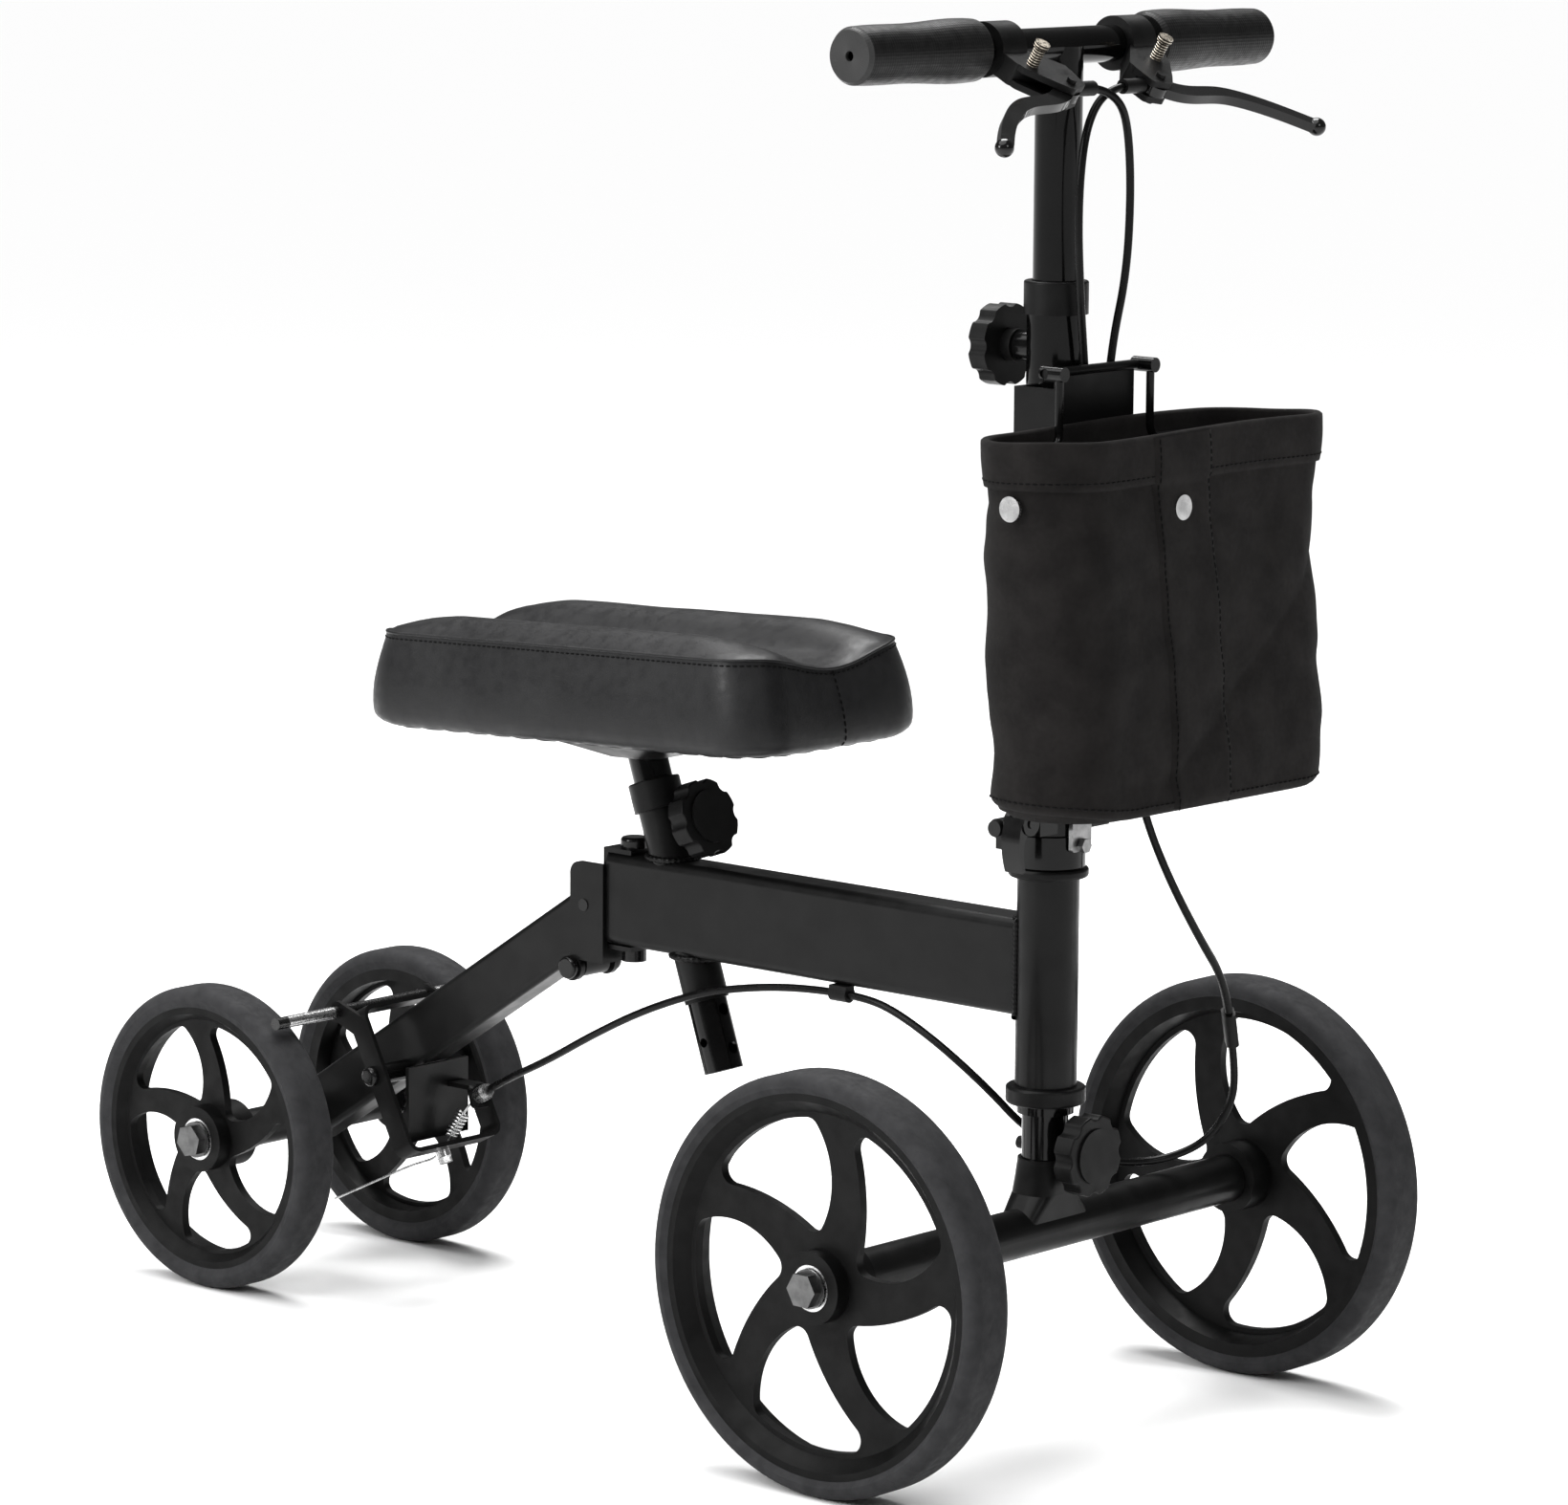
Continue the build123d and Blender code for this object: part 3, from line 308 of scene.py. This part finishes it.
def knurled(name, axis_x, axis_z, pitch):
    """Bright steel with fine rings round an axis in the plane of the wheels, with painted shade
    darkening the grooves between them.
    """
    shader = Shader(name, (0.5, 0.45, 0.38), 0.3, 1.0)
    x, y, z = shader.place()
    along = shader.math("ADD", shader.math("MULTIPLY", x, axis_x), shader.math("MULTIPLY", z, axis_z))
    rings = shader.math("SINE", shader.math("MULTIPLY", along, 2 * pi / pitch))
    # Painted shade: the grooves between the rings are tinted near black.
    shader.tint(shader.spread(rings, 0.0, 1.0, -0.2, 0.6), (0.06, 0.05, 0.04), (0.6, 0.54, 0.45))
    shader.rough(shader.noise(500, 3), 0.22, 0.36)
    shader.relief(rings, 0.8, 0.0005)
    return shader.material


def bare_banded_bar(inner, outer):
    """Black paint with a band of bright bare metal at each side."""
    shader = Shader("bare_banded_bar", (0.004, 0.004, 0.004), 0.25)
    x, y, z = shader.place()
    reach = shader.math("ABSOLUTE", y)
    reach = shader.math("ADD", reach, shader.math("MULTIPLY", shader.noise(300), 0.004))
    past, short = shader.math("GREATER_THAN", reach, inner), shader.math("LESS_THAN", reach, outer)
    # Bright bare metal in a band at each side, between the inner and outer reach.
    bare_band = shader.math("MULTIPLY", past, short)
    shader.tint(bare_band, (0.004, 0.004, 0.004), (0.6, 0.6, 0.6))
    shader.link(bare_band, shader.bsdf.inputs["Metallic"])
    shader.rough(shader.noise(800), 0.2, 0.34)
    return shader.material


# The adjusters stand up from levers that droop by this angle.
droop = radians(32)
dress("adjuster_screws", knurled("knurled_nickel", sin(droop), cos(droop), 0.0017))
dress("brake_bar", bare_banded_bar(0.05, 0.092))

# The wire is painted black; only the two snaps on the bag are bare metal.
snap_reach = 0.0095
snaps = (Vector((0.425, -0.028, 0.582)), Vector((0.3823, -0.132, 0.586)))
for polygon in dress("bag_wire", black_steel, nickel).polygons:
    near = min((polygon.center - snap).length for snap in snaps)
    polygon.material_index = 1 if near < snap_reach else 0


# ---- mesh helpers ----


def new_piece(name, vertices, faces, material, body):
    """A mesh object that rides on a body and takes a record slot's finish."""
    mesh = bpy.data.meshes.new(name)
    mesh.from_pydata([tuple(v) for v in vertices], [], faces)
    mesh.validate()
    mesh.update()
    mesh.polygons.foreach_set("use_smooth", [True] * len(mesh.polygons))
    mesh.materials.append(material)
    piece = add_object(name, mesh)
    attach(piece, body)
    return piece


def strip_faces(rows, columns, closed=True):
    """Quads between successive rows of the same number of points."""
    faces = []
    last = columns if closed else columns - 1
    for i in range(rows - 1):
        for j in range(last):
            k = (j + 1) % columns
            here, above = i * columns, (i + 1) * columns
            faces.append((here + j, here + k, above + k, above + j))
    return faces


def outline(half_x, half_y, radius, fraction):
    """A point and its outward normal on a rounded rectangle, by fraction of its perimeter."""
    flat_x, flat_y, arc = 2 * (half_x - radius), 2 * (half_y - radius), radius * pi / 2
    legs = (flat_y / 2, arc, flat_x, arc, flat_y, arc, flat_x, arc, flat_y / 2)
    distance = (fraction % 1.0) * sum(legs)
    corners = ((1, 1), (-1, 1), (-1, -1), (1, -1))
    for i, leg in enumerate(legs):
        if distance <= leg or i == len(legs) - 1:
            break
        distance -= leg
    if i % 2:
        sx, sy = corners[i // 2]
        turn = distance / radius + (i // 2) * pi / 2
        normal = Vector((cos(turn), sin(turn), 0))
        return Vector((sx * (half_x - radius), sy * (half_y - radius), 0)) + normal * radius, normal
    side = (i // 2) % 4
    if side == 0:
        start = 0 if i == 0 else -(half_y - radius)
        return Vector((half_x, start + distance, 0)), Vector((1, 0, 0))
    if side == 1:
        return Vector((half_x - radius - distance, half_y, 0)), Vector((0, 1, 0))
    if side == 2:
        return Vector((-half_x, half_y - radius - distance, 0)), Vector((-1, 0, 0))
    return Vector((distance - half_x + radius, -half_y, 0)), Vector((0, -1, 0))


def smoothstep(t):
    t = min(max(t, 0.0), 1.0)
    return t * t * (3 - 2 * t)


def stitches(name, points, normals, length, width, body):
    """Short raised thread dashes along a line of points, lying on their surface."""
    spacing, sides = 1.35 * length, 6
    ends = ((-0.5, 0.3), (-0.28, 1), (0.28, 1), (0.5, 0.3))
    vertices, faces = [], []
    travelled, next_start = 0.0, 0.0
    for a, b, normal in zip(points, points[1:], normals):
        step = (b - a).length
        if step < 1e-7:
            continue
        while next_start <= travelled + step:
            centre = a + (b - a) * ((next_start - travelled) / step)
            along = (b - a) / step
            across = along.cross(normal).normalized()
            first = len(vertices)
            for lengthwise, scale in ends:
                for k in range(sides):
                    turn = k * 2 * pi / sides
                    offset = across * cos(turn) * width * scale
                    offset += normal * sin(turn) * width * 0.8 * scale
                    vertices.append(centre + along * lengthwise * length + offset)
            faces += [tuple(first + i for i in face) for face in strip_faces(len(ends), sides)]
            faces.append(tuple(first + k for k in range(sides - 1, -1, -1)))
            faces.append(tuple(len(vertices) - sides + k for k in range(sides)))
            next_start += spacing
        travelled += step
    return new_piece(name, vertices, faces, thread_and_shade, body)


# ---- seat pad ----
tilt = radians(2.2)
pad_front = Vector((cos(tilt), 0, sin(tilt)))
pad_up = Vector((-sin(tilt), 0, cos(tilt)))
pad_origin = Vector((-0.032, 0, 0.398))
seam_level = 0.061
panel_x, panel_y = 0.166, 0.0785
trough = 0.0105


def on_pad(u, v, w):
    """A point from its place along, across and above the pad's base plane."""
    return pad_origin + pad_front * u + Vector((0, v, 0)) + pad_up * w


def seam_height(u, v):
    """Height of the seam round the top panel, which dips with the trough at both ends."""
    end = smoothstep((abs(u) - 0.125) / 0.035)
    return seam_level - 0.0115 * (0.5 + 0.5 * cos(pi * min(abs(v) / 0.07, 1))) * end


def top_height(u, v):
    """Height of the top panel: two long ridges beside a broad trough."""
    ridge = 0.0105 * sin(pi * min(max((panel_y - abs(v)) / 0.052, 0), 1)) ** 0.9
    dip = -trough * (0.5 + 0.5 * cos(pi * min(abs(v) / 0.05, 1)))
    ends = smoothstep((0.172 - abs(u)) / 0.07)
    return seam_level + ridge * (0.25 + 0.75 * ends) + dip


def pad_side(fraction, level):
    """A point of the pad's side wall, from the base (0) to the seam (1)."""
    bulge = sin(pi * min(level * 1.05, 1.0) ** 0.75)
    half_x = 0.175 - 0.009 * level ** 1.5 + 0.003 * bulge
    half_y = 0.0825 - 0.004 * level ** 1.5 + 0.003 * bulge
    rolled = 0.16
    if level < rolled:
        tuck = 0.010 * (1 - sqrt(max(1 - (1 - level / rolled) ** 2, 0)))
        half_x -= tuck
        half_y -= tuck
    point, normal = outline(half_x, half_y, 0.036 - 0.004 * level, fraction)
    pull = 0.0007 * noise.noise(Vector((point.x * 22, point.y * 22, level * 1.6)))
    point = point + normal * pull
    return on_pad(point.x, point.y, level * seam_height(point.x, point.y)), normal


columns = 320
vertices, seam_line, seam_normals = [], [], []
side_levels = [0, 0.02, 0.05, 0.09, 0.13, 0.18]
side_levels += [0.26 + 0.1 * i for i in range(7)] + [0.93, 0.98, 1.0]
for level in side_levels:
    vertices += [pad_side(j / columns, level)[0] for j in range(columns)]
for j in range(columns + 1):
    point, normal = pad_side(j / columns, 1.0)
    seam_line.append(point)
    seam_normals.append(normal)
ring_insets = [0.0006, 0.0016, 0.003, 0.005, 0.008, 0.012, 0.017]
ring_insets += [0.023 + 0.006 * i for i in range(9)] + [0.0765]
for inset in ring_insets:
    half_x, half_y = panel_x - inset, panel_y - inset
    corner = max(0.032 - inset * 0.4, 0.0008)
    corner = min(corner, half_y * 0.98)
    for j in range(columns):
        point, normal = outline(half_x, half_y, corner, j / columns)
        edge = seam_height(point.x, point.y)
        rise = 1 - (1 - min(inset / 0.026, 1)) ** 2
        height = edge + (top_height(point.x, point.y) - edge) * rise
        height += 0.0016 * smoothstep(inset / 0.006) * (1 - smoothstep((inset - 0.006) / 0.03))
        height += 0.0006 * noise.noise(Vector((point.x * 18, point.y * 18, 3.0))) * rise
        vertices.append(on_pad(point.x, point.y, height))
rows = len(side_levels) + len(ring_insets)
faces = strip_faces(rows, columns)
faces.append(tuple(range(columns - 1, -1, -1)))
faces.append(tuple((rows - 1) * columns + j for j in range(columns)))
pad = new_piece("seat_cushion", vertices, faces, materials["seat_vinyl"], "seat")
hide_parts("seat_pad")

# A raised welt with a line of stitches just below it follows the seam.
welt, welt_faces, welt_radius, sides = [], [], 0.0011, 8
for j in range(columns):
    point, normal = pad_side(j / columns, 1.0)
    for k in range(sides):
        turn = k * 2 * pi / sides
        offset = normal * cos(turn) * welt_radius + pad_up * sin(turn) * welt_radius
        welt.append(point + offset - normal * 0.0002)
for j in range(columns):
    n = (j + 1) % columns
    for k in range(sides):
        m = (k + 1) % sides
        welt_faces.append((j * sides + k, j * sides + m, n * sides + m, n * sides + k))
new_piece("seat_welt", welt, welt_faces, materials["seat_vinyl"], "seat")
stitch_points, stitch_normals = [], []
for j in range(columns + 1):
    point, normal = pad_side(j / columns, 0.945)
    stitch_points.append(point + normal * 0.0002)
    stitch_normals.append(normal)
stitches("seat_stitches", stitch_points, stitch_normals, 0.0032, 0.0005, "seat")
seam_points = 40
for name, at in (("front_seam", 0.9985), ("rear_seam", 0.5)):
    points, normals = [], []
    for i in range(seam_points):
        point, normal = pad_side(at, 0.06 + 0.93 * i / (seam_points - 1))
        points.append(point + normal * 0.0002)
        normals.append(normal)
    stitches(name, points, normals, 0.0034, 0.0006, "seat")

# The vinyl is turned under and gathered round the base.
vertices, gathers = [], 46
turned_rows = ((0.0, 0.004), (0.004, -0.0016), (0.012, -0.0022), (0.026, -0.0016), (0.034, 0.0005))
for inset, drop in turned_rows:
    for j in range(columns):
        point, normal = pad_side(j / columns, 0.02)
        gather = 0.0012 * sin(j / columns * 2 * pi * gathers) * min(inset / 0.012, 1)
        flat = point - normal * (inset + 0.0015 + abs(gather))
        vertices.append(flat + pad_up * (drop + gather))
faces = strip_faces(len(turned_rows), columns)
new_piece("seat_underside", vertices, faces, materials["seat_vinyl"], "seat")

# ---- bag ----
low, high = box_corners("bag")
bag_centre = (low + high) / 2
bag_half = (high - low) / 2
bag_height = high.z - low.z
bag_corner = 0.038
fabric, hem_fabric = 0.0022, 0.0024
columns = 360
hem = 1 - 0.027 / bag_height


def bag_halves(level):
    """Half the bag's depth and half its width at a level; it narrows to its base."""
    shrink = 1 - level
    return bag_half.x - 0.0012 - 0.0015 * shrink, bag_half.y - 0.0012 - 0.005 * shrink


def bag_wall(fraction, level, lift=0.0):
    """A point of the bag's outer face, from its base (0) to its rim (1), and its normal."""
    half_x, half_y = bag_halves(level)
    rolled = 0.035
    if level < rolled:
        tuck = 0.006 * (1 - sqrt(1 - (1 - level / rolled) ** 2))
        half_x -= tuck
        half_y -= tuck
    point, normal = outline(half_x, half_y, bag_corner, fraction)
    where = Vector((point.x * 9, point.y * 9, level * 1.9))
    slack = smoothstep(level / 0.1) * (1 - smoothstep((level - 0.78) / 0.18))
    slant = Vector((point.x * 6, point.y * 8 + level * 1.4, level * 2.6 - point.y * 5))
    folds = noise.noise(where) * 0.0026 + noise.noise(slant * 1.9 + Vector((7, 1, 3))) * 0.0026
    folds += noise.noise(slant * 4.3 + Vector((2, 5, 8))) * 0.0012
    diagonal = sin(point.y * 16 + point.x * 10 + level * 5.5) * 0.0012
    crease = -0.0022 * (1 - abs(sin(point.y * 11 - level * 3.1 + 0.7))) ** 6
    sway = 0.0022 * sin(level * 5 + point.y * 7) * (1 - smoothstep((level - 0.86) / 0.1))
    offset = (folds + diagonal + crease) * slack + sway * 0.5 - 0.001 * slack
    rim = 0.0012 * sin(point.y * 23 + 0.6) + 0.0025 + 0.0025 * smoothstep((point.x + 0.02) / 0.05)
    z = low.z + bag_height * level + rim * smoothstep((level - 0.7) / 0.3)
    z += 0.005 * smoothstep((-point.y - 0.07) / 0.06) * (1 - smoothstep(level / 0.5))
    swing = 0.009 * (1 - level ** 1.6) * smoothstep((point.x + 0.05) / 0.08)
    base = bag_centre + point + Vector((swing, 0, 0))
    return Vector((base.x, base.y, z)) + normal * (offset + lift), normal


def bag_row(level, lift=0.0):
    """One row of points round the bag's wall."""
    return [bag_wall(j / columns, level, lift)[0] for j in range(columns)]


def base_row(row, scale, z):
    """A row of points drawn in towards the middle of the base, all at one height."""
    flats = [(point - bag_centre) * scale for point in row]
    return [Vector((bag_centre.x + flat.x, bag_centre.y + flat.y, z)) for flat in flats]


# The shell goes up the outside, over the hem, down the inside and across the base.
wall_rows = 60
rows = [(level, 0.0) for level in (0, 0.004, 0.01, 0.02, 0.035)]
rows += [(0.035 + (hem - 0.045) * i / wall_rows, 0.0) for i in range(1, wall_rows + 1)]
rows += [(hem - 0.006, 0.0), (hem - 0.0005, 0.0), (hem, 0.0021)]
rows += [(hem + (1 - hem) * i / 10, hem_fabric) for i in range(1, 10)]
rows += [(0.995, 0.0022), (0.9995, 0.001), (1.0, -0.0006), (0.999, -0.0022), (0.992, -0.0031)]
rows += [(level, -0.0032) for level in (0.97, 0.93, 0.875)]
rows += [(level, -fabric) for level in (0.87, 0.8, 0.7, 0.6, 0.5, 0.4, 0.3, 0.2, 0.1, 0.03)]
vertices = []
for level, lift in rows:
    vertices += bag_row(level, lift)
inside = vertices[-columns:]
for scale in (0.97, 0.7, 0.35):
    vertices += base_row(inside, scale, low.z + 0.003)
faces = strip_faces(len(rows) + 3, columns)
faces.append(tuple((len(rows) + 2) * columns + j for j in range(columns)))
under = len(vertices)
for scale, rise in ((0.985, 0.0002), (0.7, 0.0012), (0.35, 0.0018)):
    vertices += base_row(vertices[:columns], scale, low.z + rise)
for j in range(columns):
    n = (j + 1) % columns
    faces.append((n, j, under + j, under + n))
    for i in range(2):
        a, b = under + i * columns, under + (i + 1) * columns
        faces.append((a + n, a + j, b + j, b + n))
faces.append(tuple(under + 2 * columns + j for j in range(columns - 1, -1, -1)))
bag = new_piece("bag_shell", vertices, faces, materials["bag_canvas"], "column")
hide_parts("bag")


def fraction_at(y, level):
    """The perimeter fraction of the front face where it has a given place across the bag."""
    half_x, half_y = bag_halves(level)
    total = 4 * (half_x - bag_corner) + 4 * (half_y - bag_corner) + 2 * pi * bag_corner
    return (y / total) % 1.0


def bag_stitches(name, points, normals):
    """A line of dark stitches on the bag, partly painted shade: they also stand in for the shadow lines
    along the hem and the strap's edges.
    """
    stitches(name, points, normals, 0.0034, 0.00055, "column")


# A flat strap runs up the front, with a line of stitches near each edge.
vertices, left_edge, right_edge, edge_normals = [], [], [], []
strap_rows, strap_columns, strap_width, stitch_line = 90, 16, 0.054, 0.0235
for i in range(strap_rows):
    level = 0.012 + 0.982 * i / (strap_rows - 1)
    middle = -0.010 - 0.020 * level
    over_hem = hem_fabric * smoothstep((level - hem + 0.01) / 0.02)
    for j in range(strap_columns):
        across = -strap_width / 2 + strap_width * j / (strap_columns - 1)
        lift = over_hem + (0.0 if j in (0, strap_columns - 1) else fabric)
        vertices.append(bag_wall(fraction_at(middle + across, level), level, lift)[0])
    for edge, line in ((-stitch_line, right_edge), (stitch_line, left_edge)):
        point, normal = bag_wall(fraction_at(middle + edge, level), level, over_hem + fabric)
        line.append(point)
    edge_normals.append(normal)
faces = strip_faces(strap_rows, strap_columns, False)
new_piece("bag_strap", vertices, faces, materials["bag_canvas"], "column")
# Painted shade in part: these dark stitch lines also stand for the shadows along the strap's edges.
bag_stitches("strap_stitches_left", left_edge, edge_normals)
bag_stitches("strap_stitches_right", right_edge, edge_normals)
# Painted shade in part: the dark hem stitches also stand for the hem's shadow line.
for name, level, lift in (("hem_stitches", hem + 0.018, hem_fabric), ("base_stitches", 0.03, 0.0003)):
    points, normals = [], []
    for j in range(columns + 1):
        point, normal = bag_wall(j / columns, level, lift)
        points.append(point)
        normals.append(normal)
    bag_stitches(name, points, normals)

# ---- cables ----
cable_radius = 0.0025


def drawn_curve(name, points, bevel):
    """The mesh of a smooth NURBS curve with these control points and this round bevel."""
    data = bpy.data.curves.new(name, "CURVE")
    data.dimensions = "3D"
    data.resolution_u = 14
    data.bevel_depth = bevel
    data.bevel_resolution = 5
    data.use_fill_caps = True
    spline = data.splines.new("NURBS")
    spline.points.add(len(points) - 1)
    for control, point in zip(spline.points, points):
        control.co = (*point, 1)
    spline.order_u = 3
    spline.use_endpoint_u = True
    thing = add_object(name, data)
    bpy.context.view_layer.update()
    mesh = bpy.data.meshes.new_from_object(thing)
    bpy.data.objects.remove(thing)
    return mesh


def cable(name, node, route):
    """A cable along route points in mm from the column's foot."""
    points = [(Vector(p) + column_foot) * MM for p in route]
    path = [v.co.copy() for v in drawn_curve(name + "_line", points, 0).vertices]
    mesh = drawn_curve(name + "_round", points, cable_radius)
    mesh.name = name
    mesh.polygons.foreach_set("use_smooth", [True] * len(mesh.polygons))
    mesh.materials.clear()
    mesh.materials.append(materials["cable_sleeve"])
    piece = add_object(name, mesh)
    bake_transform(piece)
    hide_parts(node)


column_x = 306.3
column_foot = Vector((column_x, 0, 0))
boss_reach, bar_height = 43.5, 845
boss_x, boss_z = boss_reach * cos(droop), bar_height - boss_reach * sin(droop)
joiner_dir = Vector((-4, 14.5, -45)).normalized()
side_by_side = Vector((-0.62, 0.61, 0))
joiner_side = (side_by_side + joiner_dir * (-side_by_side).dot(joiner_dir)).normalized()
pair_gap = 2.8
joiner_centre = Vector((40.3, 130.5, 237.5))
joiner_top = joiner_centre - joiner_dir * 11.1
right_entry = joiner_top + joiner_side * pair_gap
left_entry = joiner_top - joiner_side * pair_gap
joiner_exit = joiner_centre + joiner_dir * 11
barrel_seat = Vector((-190, 15.7, 133))
barrel_dir = Vector((0.857, -0.262, 0.444)).normalized()
barrel_tip = barrel_seat + barrel_dir * 14 - column_foot

cable("lever_cable_r", "lever_cable_right", [
    (boss_x, -20, boss_z), (boss_x, -8, boss_z), (43, 5, 814), (39, 18, 795), (35, 26, 757),
    (31, 28, 710), (24, 24, 668), (23.3, 20, 628), (23.3, 20, 590),
])
cable("lever_cable_l", "lever_cable_left", [
    (boss_x, 20, boss_z), (boss_x, 8, boss_z), (31.5, -4, 813), (32, -16, 791), (31, -19, 748),
    (28, -12, 700), (23.3, -2, 662), (23.3, 2, 628), (23.3, 2, 590),
])

# Below the bag the two run side by side into the joiner.
shared_run = [(25, 45, 420), (29, 56, 378), (36, 71, 340), (41, 96, 300)]
shared_run.append(right_entry - joiner_dir * 22)
cable("column_cable_r", "column_cables", [
    (23.3, 20, 590), (23.3, 20, 555), (23.5, 25, 512), (24, 35, 465), *shared_run, right_entry,
])
cable("column_cable_l", "column_cables", [
    (23.3, 2, 590), (23.3, 2, 555), (23.5, 9, 512), (24, 22, 465),
    *[Vector(point) - joiner_side * 2 * pair_gap for point in shared_run], left_entry,
])
cable("lower_cable", "brake_cable_lower", [
    joiner_exit, joiner_exit + joiner_dir * 20, (34, 142, 186), (20, 136, 161), (0, 115, 149),
    (-15, 81, 151), (-25, 46, 163), (-29, 14, 183), (-45, 0, 206), (-78, -7, 230),
    (-110, -10, 246), (-133, -12, 252.5), (-155, -12, 252.5),
])
cable("rear_cable", "brake_cable_rear", [
    (-155, -12, 252.5), (-177, -12, 252.5), (-218, -16, 249), (-264, -21, 240), (-312, -22, 222),
    (-360, -18, 199), (-412, -9, 172), barrel_tip + barrel_dir * 24, barrel_tip,
])

# The bare inner wire leaves the barrel on the rear arm and is clamped to the swinging loop.
inner_wire = add_object("inner_wire", nodes["brake_inner_wire"].data.copy())
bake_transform(inner_wire)
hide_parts("brake_inner_wire")

# ---- weld beads ----


def weld(name, points, radius, body):
    """A rippled bead of weld metal along a line, painted with the frame."""
    vertices, around = [], 8
    for i, point in enumerate(points):
        along = (points[min(i + 1, len(points) - 1)] - points[max(i - 1, 0)]).normalized()
        one = along.orthogonal().normalized()
        two = along.cross(one)
        size = radius * (1 + 0.22 * sin(i * 2.1))
        for k in range(around):
            turn = k * 2 * pi / around
            vertices.append(point + (one * cos(turn) + two * sin(turn)) * size)
    faces = strip_faces(len(points), around)
    new_piece(name, vertices, faces, materials["frame_black"], body)


beam_under, beam_top = 258, 318
seat_lean = radians(19)


def seat_ring(z, steps=90):
    """The line where the leaning seat tube meets a level face of the beam."""
    tube_radius, axis_x = 14.9, 7.3 - tan(seat_lean) * (z - (beam_under + beam_top) / 2)
    turns = [i * 2 * pi / steps for i in range(steps + 1)]
    long_radius = 15.4 / cos(seat_lean)
    return [Vector((axis_x + long_radius * cos(t), tube_radius * sin(t), z)) * MM for t in turns]


weld("weld_seat_top", seat_ring(beam_top + 0.6), 0.0019, "frame")
weld("weld_seat_under", seat_ring(beam_under - 0.6), 0.0019, "frame")


def neck_point(y, z):
    """A point where a level face of the beam meets the round head tube."""
    return Vector((column_x - sqrt(19.6 ** 2 - y * y), y, z)) * MM


# Round the beam's end: up one side, over the top, down the other side and back below.
half_beam, end_x = 15.2, column_x - 12.2
neck = [Vector((end_x, -half_beam, z)) * MM for z in range(beam_under + 1, beam_top)]
neck += [neck_point(-14.5 + i, beam_top + 0.4) for i in range(30)]
neck += [Vector((end_x, half_beam, z)) * MM for z in range(beam_top, beam_under, -1)]
neck += [neck_point(14.5 - i, beam_under - 0.4) for i in range(30)]
weld("weld_neck", neck, 0.0018, "frame")

# ---- floor, light and camera ----
floor_mesh = bpy.data.meshes.new("floor")
reach = 40
floor_corners = [(-reach, -reach, 0), (reach, -reach, 0), (reach, reach, 0), (-reach, reach, 0)]
floor_mesh.from_pydata(floor_corners, [], [(0, 1, 2, 3)])
floor = add_object("floor", floor_mesh)
floor_shader = Shader("floor_white", (0.9, 0.9, 0.9), 0.7, Specular_IOR_Level=0.0)
floor_mesh.materials.append(floor_shader.material)
floor.location.z = -0.0005


def area_light(name, position, size, power):
    """A square soft light aimed at the middle of the scooter."""
    data = bpy.data.lights.new(name, "AREA")
    data.size = size
    data.energy = power
    light = add_object(name, data)
    light.location = position
    aim = Vector((0, 0, 0.4)) - Vector(position)
    light.rotation_euler = aim.to_track_quat("-Z", "Y").to_euler()


area_light("key", (2.9, -0.6, 2.0), 0.8, 14)
area_light("side", (-0.9, -3.0, 1.6), 1.0, 55)
area_light("top", (-0.6, 0.9, 3.0), 1.6, 110)
sun_data = bpy.data.lights.new("sky", "SUN")
sun_data.energy = 3.2
sun_data.angle = radians(70)
sun = add_object("sky", sun_data)
sun.rotation_euler = (radians(20), radians(-8), 0)
world = bpy.data.worlds.new("studio")
world.use_nodes = True
background = world.node_tree.nodes["Background"]
background.inputs["Color"].default_value = (1, 1, 1, 1)
background.inputs["Strength"].default_value = 0.14
bpy.context.scene.world = world
bpy.context.scene.view_settings.view_transform = "Standard"

azimuth, pitch, roll = radians(41.569), radians(9.067), radians(0.393)
right = Vector((cos(azimuth), sin(azimuth), 0))
back = Vector((sin(azimuth) * cos(pitch), -cos(azimuth) * cos(pitch), sin(pitch)))
up = back.cross(right)
right, up = right * cos(roll) + up * sin(roll), up * cos(roll) - right * sin(roll)
camera_data = bpy.data.cameras.new("camera")
camera_data.sensor_width = 36
camera_data.lens = 146.36
camera_data.clip_end = 200
camera = add_object("camera", camera_data)
camera_place = Vector((2708.47, -2950.76, 1025.9)) * MM
turn = Matrix((right, up, back)).transposed().to_4x4()
camera.matrix_world = Matrix.Translation(camera_place) @ turn
bpy.context.scene.camera = camera
